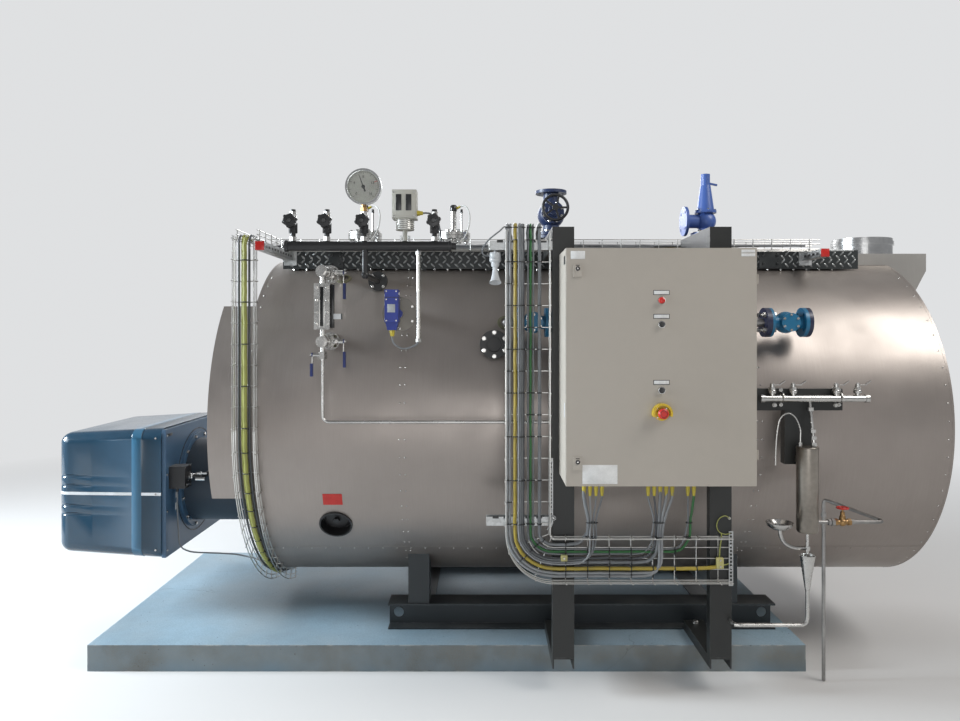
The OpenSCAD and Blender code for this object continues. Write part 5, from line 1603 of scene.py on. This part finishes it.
def build_door_furniture():
    bm = bmesh.new()
    for z in (UPPER_Z, LOWER_Z):
        add_turned(bm, stand((PANEL_X, DOOR_Y, z), FRONT), [
            (0.0112, 0.002), (0.0112, 0.0085), (0.0125, 0.0092), (0.0148, 0.0085), (0.0156, 0.006),
            (0.0156, 0.0),
        ], 40)
    add_turned(bm, stand((PANEL_X, DOOR_Y, LAMP_Z), FRONT),
               [(0.0135, 0.003), (0.0135, 0.0075), (0.0150, 0.0078), (0.0162, 0.0055), (0.0162, 0.0)], 40)
    close_piece("button_rings", bm, "gauge_case", "door")

    bm = bmesh.new()
    add_turned(bm, stand((PANEL_X, DOOR_Y, LAMP_Z), FRONT), [
        (0.0132, 0.004), (0.0132, 0.0125), (0.0118, 0.0155), (0.0085, 0.0177), (0.0045, 0.0188),
        (0.0, 0.0192),
    ], 40)
    close_piece("lamp_lens", bm, "switch_red", "door")

    bm = bmesh.new()
    for z in (UPPER_Z, LOWER_Z):
        add_turned(bm, stand((PANEL_X, DOOR_Y, z), FRONT),
                   [(0.0109, 0.004), (0.0109, 0.0132), (0.0098, 0.0142), (0.0, 0.0136)], 32)
    for z in PLATE_ZS:
        add_plate(bm, PANEL_X, z, 0.068, 0.020, 0.0010)
    close_piece("door_black_parts", bm, "control_black", "door")

    bm = bmesh.new()
    for z in PLATE_ZS:
        add_plate(bm, PANEL_X, z, 0.063, 0.015, 0.0006, 0.0009)
    add_plate(bm, 0.672, 1.080, 0.147, 0.080, 0.0008)
    add_plate(bm, 0.5795, 2.0005, 0.060, 0.034, 0.0005)
    for z in (2.017, 2.001):
        add_plate(bm, 1.294, z, 0.058, 0.0125, 0.0008)
    white = plastic("white plate", (0.70, 0.70, 0.69), 0.35)
    close_piece("blank_plates", bm, "horn_white", "door", finish=white)

    bm = bmesh.new()
    for z in LOCK_ZS:
        spot = stand((LOCK_X, DOOR_Y - 0.009, z + 0.008), FRONT)
        add_turned(bm, spot, [(0.0098, -0.001), (0.0098, 0.0008), (0.0078, 0.0010), (0.0074, -0.0004)], 32)
        add_rod(bm, spot, 0.0072, 0.0006, 32)
        add_block(bm, (0.570, DOOR_Y - 0.0068, z + 0.0205), (0.586, DOOR_Y - 0.0055, z + 0.0235), 0.0003)
    close_piece("lock_inserts", bm, "control_black", "door")
    bm = bmesh.new()
    for z in LOCK_ZS:
        add_rod(bm, stand((LOCK_X, DOOR_Y - 0.0094, z + 0.008), FRONT), 0.0042, 0.0022, 3)
    close_piece("lock_pins", bm, "bright_steel", "door")

    gasket = plastic("door gasket", (0.02, 0.02, 0.021), 0.7)
    bm = bmesh.new()
    x0, x1, z0, z1 = 0.537, 1.323, 1.037, 2.023
    for low, high in (((x0, z0), (x1, z0 + 0.014)), ((x0, z1 - 0.014), (x1, z1)),
                      ((x0, z0), (x0 + 0.014, z1)), ((x1 - 0.014, z0), (x1, z1))):
        add_block(bm, (low[0], -1.3185, low[1]), (high[0], -1.3115, high[1]), 0.002)
    close_piece("door_gasket", bm, "control_black", "door", finish=gasket)

    bm = bmesh.new()
    for spot in circle((PANEL_X, DOOR_Y - 0.009, STOP_Z), RIGHT, UP, 0.0265, range(45, 360, 90)):
        add_rod(bm, stand(spot, FRONT), 0.003, 0.001, 12)
    close_piece("collar_screws", bm, "bright_steel", "door")

    bm = bmesh.new()
    add_turned(bm, stand((PANEL_X, DOOR_Y - 0.045, STOP_Z), FRONT),
               [(0.0158, -0.0005), (0.0158, 0.0008), (0.0125, 0.0012), (0.0120, -0.0003)], 36)
    deep_red = plastic("deep red", (0.25, 0.008, 0.006), 0.35)
    close_piece("stop_ring", bm, "switch_red", "stop_head", finish=deep_red)


def build_case_details():
    block_piece("case_tab", "horn_white", (0.5285, -1.285, 1.312), (0.5302, -1.268, 1.375), 0.0004)
    block_piece("case_dark_tab", "control_black", (0.5275, -1.300, 1.965), (0.5302, -1.262, 2.0), 0.001)
    bm = bmesh.new()
    add_block(bm, (0.60, -1.20, GLAND_PLATE_Z), (1.26, -1.062, 1.0305), 0.0006)
    for x in (0.615, 0.93, 1.245):
        for y in (-1.19, -1.07):
            stamp(bm, hex_head(0.010, 0.004), [stand((x, y, GLAND_PLATE_Z), DOWN, dice.random())])
    close_piece("gland_plate", bm, "galvanised")
    bm = bmesh.new()
    for x in MORE_GLANDS:
        add_nut(bm, (x, GLAND_Y, GLAND_PLATE_Z), DOWN, 0.0112, 0.024)
    for x in (*GLAND_XS, *MORE_GLANDS):
        add_rod(bm, stand((x, GLAND_Y, 1.0045), DOWN), 0.0102, 0.030, 24, 0.0092)
        add_rod(bm, stand((x, GLAND_Y, 0.9745), DOWN), 0.0092, 0.032, 24, 0.0062)
        collar = [(0.0112, 0.0), (0.0122, 0.002), (0.0122, 0.006), (0.0112, 0.008)]
        add_turned(bm, stand((x, GLAND_Y, 1.022), DOWN), collar, 24)
    close_piece("gland_nuts", bm, "gland_yellow")


build_door_furniture()
build_case_details()

# %% [markdown]
# ## Cables
# The trays carry real bundles. Each cable of the riser is drawn whole: from the tray along the
# walkway over the riser's top, down, round the corner, along the lower tray and up into its gland
# with a natural sag. The earth cable ends at its terminal instead. These pieces stand in for the
# CAD's plainer riser and cabinet cables. Black ties hold them at the cross wires.

# %% Cable routes
RACK_Y = -1.0406
GREY_LIGHT = plastic("sheath light grey", (0.25, 0.26, 0.27), 0.42)
GREY_MID = FINISH["cable_grey"]
GREY_DARK = plastic("sheath slate", (0.075, 0.08, 0.09), 0.45)
YELLOW = plastic("sheath yellow", (0.36, 0.27, 0.03), 0.42)
GREEN = plastic("sheath green", (0.02, 0.13, 0.032), 0.42)
WHITE = plastic("sheath white", (0.50, 0.50, 0.48), 0.4)

# Name, place in the riser, height in the lower tray, radius, lift off the wires, sheath, gland
RISER_CABLES = (
    ("outer", 0.2905, 0.5605, 0.0065, 0.0, GREY_LIGHT, 1.003),
    ("outer_pair", 0.3045, 0.5745, 0.0065, 0.0, GREY_LIGHT, 1.030),
    ("earth", 0.3275, 0.5957, 0.0085, 0.0, YELLOW, None),
    ("power", 0.3490, 0.6243, 0.0072, 0.0, GREY_MID, 0.976),
    ("signal_1", 0.3440, 0.6195, 0.0042, 0.0145, GREY_LIGHT, 0.661),
    ("signal_2", 0.3530, 0.6280, 0.0042, 0.0145, GREY_MID, 0.688),
    ("signal_3", 0.3605, 0.6360, 0.0042, 0.0085, GREY_MID, 0.715),
    ("signal_4", 0.3665, 0.6420, 0.0045, 0.0, GREY_DARK, 0.949),
    ("signal_5", 0.3870, 0.6610, 0.0042, 0.0, GREY_MID, 0.922),
    ("green", 0.3985, 0.6717, 0.0058, 0.0, GREEN, 1.127),
    ("signal_6", 0.4110, 0.6830, 0.0042, 0.0, GREY_MID, 1.100),
    ("inner", 0.4395, 0.7060, 0.0078, 0.0, GREY_MID, 0.634),
)
# Groups of cables under one tie, across the riser and up the lower tray: middle, half width, depth
TIE_GROUPS = (
    (0.2975, 0.0148, 0.0075), (0.3275, 0.0098, 0.0095), (0.3550, 0.0175, 0.0125),
    (0.3990, 0.0180, 0.0070), (0.4395, 0.0090, 0.0088),
)
LOW_GROUPS = (
    (0.5675, 0.0148, 0.0075), (0.5957, 0.0098, 0.0095), (0.6310, 0.0175, 0.0125),
    (0.6720, 0.0170, 0.0070), (0.7060, 0.0090, 0.0088),
)
BUNDLE_XS = (0.674, 0.976, 1.113)
BUNDLE_Y, BUNDLE_Z = -1.086, 0.815
CORNER_X, CORNER_Z = 0.505, 0.76  # every riser cable turns round this point
RIM_X = -0.953
RIM_R = 0.910


def over_the_top(x, y, rest_y, way):
    """Knots from the riser's top back into the tray on the walkway."""
    return [
        (x, y, 2.09), (x, y + 0.002, 2.132), (x + 0.002, y + 0.035, 2.172), (x + 0.006, y + 0.14, 2.181),
        (x + 0.012, -0.72, 2.172), (x + 0.02, rest_y - 0.10, 2.150),
        (x + 0.035 * way, rest_y - 0.015, 2.131), (x + 0.12 * way, rest_y, 2.1275),
        (x + 0.35 * way, rest_y, 2.1270), (x + 0.8 * way, rest_y, 2.1270),
    ]


def into_gland(x, y, z):
    """Knots that leave the lower tray, meet their neighbours at the tie and rise into a gland."""
    middle = min(BUNDLE_XS, key=lambda m: abs(m - x))
    held = middle + (x - middle) * 0.42
    sway = dice.uniform(-0.006, 0.006)
    return [
        (held - 0.075, y, z), (held - 0.030, y - 0.002, z + 0.012), (held - 0.004, y - 0.006, z + 0.05),
        (held + sway, y - 0.020, 0.755), (held, BUNDLE_Y, BUNDLE_Z),
        (held + 0.3 * (x - held), -1.100, 0.865), (x, GLAND_Y, 0.935), (x, GLAND_Y, 0.975),
    ]


def build_riser_cables():
    for i, (name, x, low, radius, lift, finish, gland) in enumerate(RISER_CABLES):
        y = RACK_Y - radius - lift
        side = -1 if i % 3 else 1
        knots = list(reversed(over_the_top(x, y, -0.478 + 0.007 * i, side)))
        knots += [(x, y, z) for z in (1.95, 1.75, 1.55, 1.35, 1.15, 0.95)]
        for a in (math.radians(d) for d in (0, 22, 45, 68, 90)):
            px = CORNER_X - (CORNER_X - x) * math.cos(a)
            knots.append((px, y, CORNER_Z - (CORNER_Z - low) * math.sin(a)))
        if gland:
            knots += [(px, y, low) for px in (0.60, 0.75, 0.90) if px < gland - 0.14]
            knots += into_gland(gland, y, low)
        else:
            knots += [(px, y, low) for px in (0.65, 0.85, 1.05, 1.18)]
            knots += [(1.235, y - 0.002, low + 0.006), (1.262, y - 0.004, 0.608)]
        piece = lay(f"cable_{name}", knots, radius, finish, 0.0009)
        if name == "outer":
            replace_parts(piece, "cables_riser", "cables_cabinet")


def build_deck_cables():
    """Cables that lie in the tray along the walkway, and those of the rim going over to it."""
    rows = [
        (-0.475, 0.0055, GREY_MID), (-0.462, 0.0048, WHITE), (-0.449, 0.0055, YELLOW),
        (-0.437, 0.005, GREY_DARK), (-0.424, 0.0055, GREY_LIGHT),
    ]
    for i, (y, radius, finish) in enumerate(rows):
        x0, x1 = (-0.86 + 0.05 * i, 1.90 - 0.12 * i)
        z = 2.1197 + radius + 0.012
        knots = [(x0 + (x1 - x0) * k / 12, y + dice.uniform(-0.004, 0.004), z) for k in range(13)]
        lay(f"deck_cable_{i}", knots, radius, finish, 0.001, 0.06)
    tails = ((-0.67, GREY_DARK), (-0.33, FINISH["cable_green"]), (0.33, GREY_DARK))
    for i, (share, finish) in enumerate(tails):
        x = -0.950 + share * 0.05
        knots = [
            (x, -0.9043, 2.06), (x, -0.9043, 2.10), (x, -0.888, 2.134), (x, -0.84, 2.142),
            (x, -0.70, 2.1275), (x + 0.004, -0.56, 2.1262), (x + 0.03, -0.485 + 0.01 * i, 2.1290),
            (x + 0.10, -0.455 + 0.012 * i, 2.1400), (x + 0.25, -0.452 + 0.012 * i, 2.1430),
        ]
        lay(f"rim_tail_{i}", knots, 0.0054, finish)
    x, radius = -0.9525, 0.0105
    y = -0.9043 - radius + 0.003
    straight = [(x, -0.84, 2.140), (x, -0.905, 2.118)]
    straight += [(x + 0.002 * math.sin(3 * k), y, 2.05 - 0.12 * k) for k in range(8)]
    round_below = circle((x, 0, AXIS_Z), BACK, UP, y, range(4, 76, 6))
    lay("rim_cable", [*straight, *round_below], radius, FINISH["cable_green"], 0.001)


def add_tie(bm, at, across, half, depth, ridge=0.0026):
    """A tie round a group of cables: an oval loop and the stub of its tail."""
    at, across = Vector(at), Vector(across)
    back = across.cross(Vector((0, 0, 1)) if abs(across.z) < 0.9 else Vector((1, 0, 0)))
    deep = Vector((0, 1, 0)) if abs(across.y) < 0.5 else back
    turns = [math.tau * i / 14 for i in range(15)]
    loop = [at + across * (half * math.cos(a)) + deep * (depth * math.sin(a)) for a in turns]
    add_hose(bm, loop, ridge, 1)
    tail = at - deep * depth + across * dice.uniform(-0.3, 0.3) * half
    tip = tail - deep * 0.012 + across * dice.uniform(-0.008, 0.008)
    add_hose(bm, [tail, tail - deep * 0.004, tip], 0.0016, 1)


def build_ties():
    bm = bmesh.new()
    for k in range(14):
        for x, half, depth in TIE_GROUPS:
            if k % 2 == 0 or dice.random() < 0.3:
                add_tie(bm, (x, RACK_Y - depth + 0.002, 0.7985 + 0.1 * k), RIGHT, half, depth)
    for x, half, depth in TIE_GROUPS:
        add_tie(bm, (x + 0.002, -1.035, 2.158), RIGHT, half, depth)
    for k in range(8):
        x = 0.559 + 0.1 * k
        ends = (0.96, 1.20, 0.90, 1.06, 0.60)
        for (z, half, depth), end in zip(LOW_GROUPS, ends):
            if x < end:
                add_tie(bm, (x, RACK_Y - depth + 0.002, z), UP, half, depth)
    slant = math.radians(42)
    for (x, half, depth), (z, *_) in zip(TIE_GROUPS, LOW_GROUPS):
        corner_x = CORNER_X - (CORNER_X - x) * math.cos(slant)
        spot = (corner_x, RACK_Y - depth, CORNER_Z - (CORNER_Z - z) * math.sin(slant))
        add_tie(bm, spot, (math.cos(slant), 0, math.sin(slant)), half, depth)
    for k in range(0, 9, 2):
        add_tie(bm, (RIM_X, -RIM_R, 1.2195 + 0.1 * k), RIGHT, 0.019, 0.014)
    for k in range(1, 12):
        a = math.radians(82 * k / 12.5)
        spot = Vector((RIM_X, -RIM_R * math.cos(a), AXIS_Z - RIM_R * math.sin(a)))
        add_tie(bm, spot, RIGHT, 0.018, 0.013)
    for x, wide in zip(BUNDLE_XS, (0.026, 0.026, 0.014)):
        add_tie(bm, (x, BUNDLE_Y, BUNDLE_Z), RIGHT, wide, 0.011)
        add_tie(bm, (x, -1.062, 0.742), RIGHT, wide, 0.011)
    for k in range(0, 28, 2):
        spot = (-0.85 + 0.1 * k, -0.449 + dice.uniform(-0.02, 0.02), 2.136)
        add_tie(bm, spot, BACK, 0.012, 0.009)
    close_piece("cable_ties", bm, "control_black", hard=50)


build_riser_cables()
build_deck_cables()
build_ties()

# %% [markdown]
# ## Brackets, struts and the earth terminals
# Punched strips hold the ends of the trays, the struts show their row of slots and wear red end
# caps, and two terminals with a yellow-green wire earth the lower tray and the post.

# %% Tray fixings
HOLE_PITCH = 0.0165
WEB = 0.006
SLOT_PITCH = 0.05
SLOT_LONG = 0.028
EARTH_KNOTS = (
    [(1.312, -1.041, 0.822), (1.29, -1.044, 0.835), (1.262, -1.046, 0.822), (1.25, -1.047, 0.79),
     (1.262, -1.048, 0.762), (1.29, -1.047, 0.751), (1.312, -1.049, 0.756)],
    [(1.262, -1.05, 0.645), (1.264, -1.052, 0.69), (1.272, -1.05, 0.74), (1.270, -1.048, 0.757)],
    [(1.262, -1.052, 0.622), (1.285, -1.05, 0.612), (1.305, -1.049, 0.618)],
)


def add_punched(bm, at, along, across, length, width, thick=0.002):
    """A punched strip: two rails joined between its holes."""
    at, along, across = Vector(at), Vector(along), Vector(across)
    out = along.cross(across)
    frame_of = Matrix((along, across, out)).transposed().to_4x4()
    frame_of.translation = at
    rail = width * 0.24
    for y in (-width / 2, width / 2 - rail):
        add_block(bm, (0, y, 0), (length, y + rail, thick), 0.0, frame_of)
    for i in range(int(length / HOLE_PITCH) + 1):
        x = min(i * HOLE_PITCH, length - WEB)
        add_block(bm, (x, -width / 2, 0.0001), (x + WEB, width / 2, thick - 0.0001), 0.0, frame_of)


def build_tray_fixings():
    bm = bmesh.new()
    add_punched(bm, (0.4915, -1.0475, 0.80), UP, RIGHT, 0.30, 0.020)
    add_punched(bm, (1.316, -1.0475, 0.515), UP, RIGHT, 0.25, 0.020)
    add_punched(bm, (-0.246, -0.382, 2.128), UP, RIGHT, 0.075, 0.055)
    for x, z in ((1.316, 0.60), (1.316, 0.70), (0.4915, 0.86), (0.4915, 1.04)):
        stamp(bm, hex_head(0.010, 0.005), [stand((x, -1.0475, z), FRONT, dice.random())])
    close_piece("punched_strips", bm, "galvanised")

    bm = bmesh.new()
    add_hose(bm, circle((0.5035, -1.054, 0.828), RIGHT, UP, 0.0095, range(0, 361, 20)), 0.0022, 2)
    add_hose(bm, [(0.500, -1.053, 0.8195), (0.487, -1.050, 0.792), (0.474, -1.047, 0.772)], 0.0026, 2)
    add_nut(bm, (0.5035, -1.049, 0.828), FRONT, 0.004, 0.010)
    close_piece("wire_hook", bm, "gauge_case")

    bm = bmesh.new()
    for x0, x1, z in ((0.205, 0.495, 0.828), (0.225, 0.495, 2.0954)):
        for i in range(int((x1 - x0) / SLOT_PITCH)):
            x = x0 + 0.02 + SLOT_PITCH * i
            add_block(bm, (x, -1.0357, z - 0.0075), (x + SLOT_LONG, -1.0352, z + 0.0055))
    for x, y0, y1 in ((-0.8727, -0.93, -0.40), (1.939, -0.61, -0.40)):
        for i in range(int((y1 - y0) / SLOT_PITCH)):
            y = y0 + 0.015 + SLOT_PITCH * i
            for low_x, high_x in ((x - 0.0210, x - 0.0204), (x + 0.0204, x + 0.0210)):
                add_block(bm, (low_x, y, 2.079), (high_x, y + SLOT_LONG, 2.091))
    close_piece("strut_slots", bm, "control_black")

    bm = bmesh.new()
    for x, y in ((-0.8727, -0.9402), (1.939, -0.6202)):
        add_block(bm, (x - 0.0215, y - 0.007, 2.0635), (x + 0.0215, y, 2.1065), 0.003)
    close_piece("strut_caps", bm, "switch_red")

    bm = bmesh.new()
    add_block(bm, (1.246, -1.066, 0.598), (1.278, -1.046, 0.648), 0.003)
    add_block(bm, (0.536, -1.066, 0.632), (0.566, -1.046, 0.660), 0.003)
    terminal = plastic("terminal block", (0.44, 0.40, 0.16), 0.4)
    close_piece("earth_blocks", bm, "gland_yellow", finish=terminal)
    bm = bmesh.new()
    for knots, radius in zip(EARTH_KNOTS, (0.0022, 0.0028, 0.0028)):
        add_hose(bm, smooth_path(knots, 0.01), radius, 1)
    close_piece("earth_wires", bm, "cable_green")
    bm = bmesh.new()
    stamp(bm, hex_head(0.010, 0.006), [stand((1.312, -1.035, 0.822), FRONT)])
    for x, z in ((1.262, 0.637), (1.262, 0.609), (0.551, 0.646)):
        add_rod(bm, stand((x, -1.066, z), FRONT), 0.0042, 0.003, 14)
    close_piece("earth_screws", bm, "bright_steel")


build_tray_fixings()

# %% [markdown]
# ## Sampling and horn
# The cooler is a brushed drum with flat ends. A thin bent tube leaves its top, a round tundish
# stands beside it, and a cooling line with a small brass valve turns back and down to the floor.
# The drum with its funnel stands in for the CAD's plainer one. The horn gets its bell, turned to the
# front, and a blank red sticker marks the shell above the hand hole.

# %% Sampling station, horn and sticker
COOLER_X, COOLER_Y = 1.643, -1.100
BRUSHED = metal(
    "brushed cooler", (0.30, 0.272, 0.238), 0.36, stretch=(1.0, 1.0, 0.05), grain=60.0, stain=0.3,
    fuzz=0.08, relief=0.05,
)
BALL_X = 1.801
SAMPLE_Y = -1.060
STICKER_Z, STICKER_HALF = 0.860, 0.0315
STICKER_XS = (-0.6015, -0.5065)
SAMPLE_XS = (1.499, 1.595, 1.791, 1.889)


def build_cooler():
    x, y = COOLER_X, COOLER_Y
    bm = bmesh.new()
    add_turned(bm, stand((x, y, 0), UP), [
        (0.0, 0.7725), (0.030, 0.7730), (0.043, 0.7770), (0.0478, 0.7860), (0.0478, 1.1500),
        (0.0492, 1.1505), (0.0492, 1.1585), (0.0475, 1.1610), (0.0, 1.1625),
    ], 56)
    add_block(bm, (x - 0.030, y + 0.040, 1.083), (x + 0.030, -1.0353, 1.113), 0.001)
    drum = close_piece("cooler_drum", bm, "bright_steel", finish=BRUSHED)
    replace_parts(drum, "sample_cooler")

    bm = bmesh.new()
    add_rod(bm, stand((x, y, 0.672), UP), 0.0065, 0.102, 20)
    add_nut(bm, (x, y, 0.693), UP, 0.0115, 0.020)
    add_turned(bm, stand((x, y, 0), UP), [
        (0.008, 0.512), (0.0105, 0.514), (0.0330, 0.668), (0.0350, 0.669), (0.0350, 0.672),
        (0.0322, 0.672), (0.0085, 0.520),
    ], 40)
    waste = [
        (x, y, 0.520), (x, y, 0.44), (x, y, 0.40), (x - 0.004, y, 0.372), (x - 0.018, y, 0.3595),
        (x - 0.05, y, 0.357), (1.45, y, 0.357), (1.333, y, 0.357), (1.318, y + 0.008, 0.357),
        (1.310, y + 0.035, 0.357), (1.310, -1.036, 0.357),
    ]
    add_hose(bm, smooth_path(waste, 0.012), 0.009, 3)
    inlet = x + 0.029
    riser = [(inlet, y, 1.158), (inlet, y + 0.004, 1.20), (inlet, y + 0.028, 1.30), (inlet, -1.0557, 1.360)]
    add_hose(bm, smooth_path(riser, 0.02), 0.0068, 2)
    for z, dy in ((1.163, 0.0), (1.192, 0.003), (1.222, 0.009), (1.318, 0.033)):
        add_nut(bm, (inlet, y + dy, z), UP, 0.0125, 0.016)
    arch = [
        (1.611, 1.160), (1.611, 1.200), (1.610, 1.243), (1.588, 1.293), (1.5555, 1.311), (1.521, 1.288),
        (1.506, 1.223), (1.500, 1.140), (1.499, 1.077),
    ]
    add_hose(bm, smooth_path([(px, y, z) for px, z in arch], 0.01), 0.0034, 2)
    add_nut(bm, (1.611, y, 1.162), UP, 0.0085, 0.018)
    close_piece("cooler_pipes", bm, "bright_steel")


def build_cooling_line():
    y, z = COOLER_Y, 0.8206
    bm = bmesh.new()
    add_rod(bm, stand((COOLER_X + 0.045, y, z), RIGHT), 0.0085, 0.070, 20)
    line = [
        (1.835, y, z), (1.90, y, z), (1.960, y, z), (1.979, y + 0.004, z + 0.001),
        (1.979, y + 0.022, z + 0.005), (1.960, y + 0.046, z + 0.011), (1.838, y + 0.198, z + 0.047),
        (1.824, y + 0.216, z + 0.049), (1.817, y + 0.222, z + 0.036), (1.816, y + 0.222, z - 0.02),
        (1.816, y + 0.222, 0.5), (1.816, y + 0.222, 0.004),
    ]
    add_hose(bm, smooth_path(line, 0.012), 0.0085, 3)
    for px, radius, length in ((1.736, 0.015, 0.012), (1.750, 0.018, 0.014), (1.836, 0.0135, 0.014)):
        add_rod(bm, stand((px, y, z), RIGHT), radius, length, 6)
    add_rod(bm, stand((1.816, y + 0.222, z - 0.03), UP), 0.0125, 0.018, 20)
    close_piece("cooling_pipe", bm, "bright_steel", finish=FINISH["pipe_steel"])
    bm = bmesh.new()
    add_rod(bm, stand((1.764, y, z), RIGHT), 0.0125, 0.074, 24)
    for px in (1.764, 1.824):
        add_nut(bm, (px, y, z), RIGHT, 0.0165, 0.014)
    ball = (BALL_X, y, z)
    bmesh.ops.create_icosphere(bm, subdivisions=3, radius=0.019, matrix=Matrix.Translation(ball))
    add_turned(bm, stand(ball, UP), [
        (0.014, 0.010), (0.013, 0.028), (0.010, 0.032), (0.010, 0.046), (0.0045, 0.048), (0.0045, 0.066),
    ], 24)
    close_piece("cooling_valve", bm, "bright_steel", finish=BRASS)
    bm = bmesh.new()
    hub = (BALL_X, y, z + 0.064)
    add_hose(bm, circle(hub, RIGHT, BACK, 0.0245, [360 * i / 28 for i in range(29)]), 0.0038, 2)
    for a in (0.4, math.pi / 2 + 0.4):
        place = Matrix.Translation(hub) @ Matrix.Rotation(a, 4, "Z")
        add_block(bm, (-0.024, -0.003, -0.002), (0.024, 0.003, 0.002), 0.0, place)
    close_piece("cooling_wheel", bm, "switch_red")


def build_sampling():
    x, y = COOLER_X, COOLER_Y
    bm = bmesh.new()
    dish_x, dish_z = 1.517, 0.816
    add_turned(bm, stand((dish_x, y, dish_z), UP), [
        (0.010, -0.028), (0.030, -0.024), (0.050, -0.012), (0.0585, 0.004), (0.0605, 0.004),
        (0.0520, -0.014), (0.031, -0.0265), (0.012, -0.031),
    ], 48)
    drain = [
        (dish_x, y, 0.790), (dish_x + 0.004, y, 0.762), (dish_x + 0.022, y, 0.728),
        (dish_x + 0.058, y, 0.708), (dish_x + 0.10, y, 0.703), (x, y, 0.703),
    ]
    add_hose(bm, smooth_path(drain, 0.01), 0.0085, 2)
    close_piece("tundish", bm, "bright_steel")

    bm = bmesh.new()
    collar = [(0.0165, 0.0), (0.0185, 0.003), (0.0185, 0.012), (0.0165, 0.015)]
    cap = [(0.0158, -0.014), (0.019, -0.014), (0.019, 0.004), (0.0, 0.004)]
    for px in SAMPLE_XS:
        add_nut(bm, (px, SAMPLE_Y, 1.365), UP, 0.0135, 0.012)
        add_turned(bm, stand((px, SAMPLE_Y, 1.398), UP), collar, 24)
    for px, way in ((1.449, LEFT), (1.936, RIGHT)):
        add_turned(bm, stand((px, SAMPLE_Y, 1.374), way), cap, 28)
    for px in (1.546, 1.812):
        add_hose(bm, circle((px, -1.0557, 1.379), BACK, UP, 0.0225, range(-100, 281, 10)), 0.0032, 1)
        for z in (1.344, 1.412):
            add_nut(bm, (px, -1.036, z), FRONT, 0.0095, 0.008)
            add_rod(bm, stand((px, -1.044, z), FRONT), 0.0045, 0.012, 16)
    close_piece("sample_rings", bm, "bright_steel")
    for k, px in enumerate(SAMPLE_XS, 1):
        bm = bmesh.new()
        add_nut(bm, (px, SAMPLE_Y, 1.4403), UP, 0.0075, 0.006)
        close_piece(f"sample_nut_{k}", bm, "bright_steel", f"sample_handle_{k}")


def build_horn_and_sticker():
    x, y = 0.237, -1.0145
    bm = bmesh.new()
    add_turned(bm, stand((x, y, 0), UP), [
        (0.0, 1.978), (0.016, 1.978), (0.019, 1.986), (0.019, 1.998), (0.0245, 2.002), (0.0265, 2.006),
        (0.0265, 2.016), (0.0255, 2.018), (0.0265, 2.020), (0.0265, 2.038), (0.0245, 2.044), (0.0, 2.045),
    ], 40)
    add_rod(bm, stand((x, y, 2.044), UP), 0.007, 0.0098, 16)
    bell_at = stand((x, y, 1.984), (0, -0.36, -0.93))
    add_turned(bm, bell_at, [
        (0.0, 0.0), (0.012, 0.0), (0.0125, 0.024), (0.0150, 0.045), (0.0195, 0.066), (0.0265, 0.085),
        (0.0280, 0.0868), (0.0265, 0.0873), (0.0190, 0.0684), (0.0135, 0.047), (0.0, 0.042),
    ], 40)
    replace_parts(close_piece("horn_bell", bm, "horn_white"), "horn")
    bm = bmesh.new()
    # The black disc at the bottom of the bell is painted shade for the dark hollow of the mouth.
    add_rod(bm, bell_at @ Matrix.Translation((0, 0, 0.0460)), 0.0130, 0.0006, 24)
    close_piece("horn_throat_shade", bm, "control_black")
    lay("horn_cable", [
        (x - 0.026, y, 2.030), (x - 0.045, y, 2.030), (x - 0.058, y - 0.002, 2.040),
        (x - 0.056, y - 0.002, 2.065), (x - 0.030, y - 0.025, 2.10), (x + 0.02, y - 0.027, 2.14),
        (x + 0.045, y + 0.01, 2.165), (x + 0.06, y + 0.2, 2.16), (x + 0.065, -0.56, 2.147),
        (x + 0.08, -0.47, 2.145), (x + 0.2, -0.46, 2.145),
    ], 0.0035, wander=0.0, step=0.012)

    bm = bmesh.new()
    middle = math.asin((STICKER_Z - AXIS_Z) / SHELL_R)
    rows = []
    for i in range(7):
        a = middle + (i - 3) / 3 * STICKER_HALF / SHELL_R
        spots = [on_shell(px, a, SHELL_R + 0.0001).translation for px in STICKER_XS]
        rows.append([bm.verts.new(spot) for spot in spots])
    for lower, upper in zip(rows, rows[1:]):
        bm.faces.new((lower[0], lower[1], upper[1], upper[0]))
    bmesh.ops.recalc_face_normals(bm, faces=bm.faces)
    bmesh.ops.solidify(bm, geom=bm.faces[:], thickness=-0.0005)
    film = plastic("red film", (0.52, 0.014, 0.008), 0.35)
    close_piece("red_sticker", bm, "switch_red", finish=film)


build_cooler()
build_cooling_line()
build_sampling()
build_horn_and_sticker()
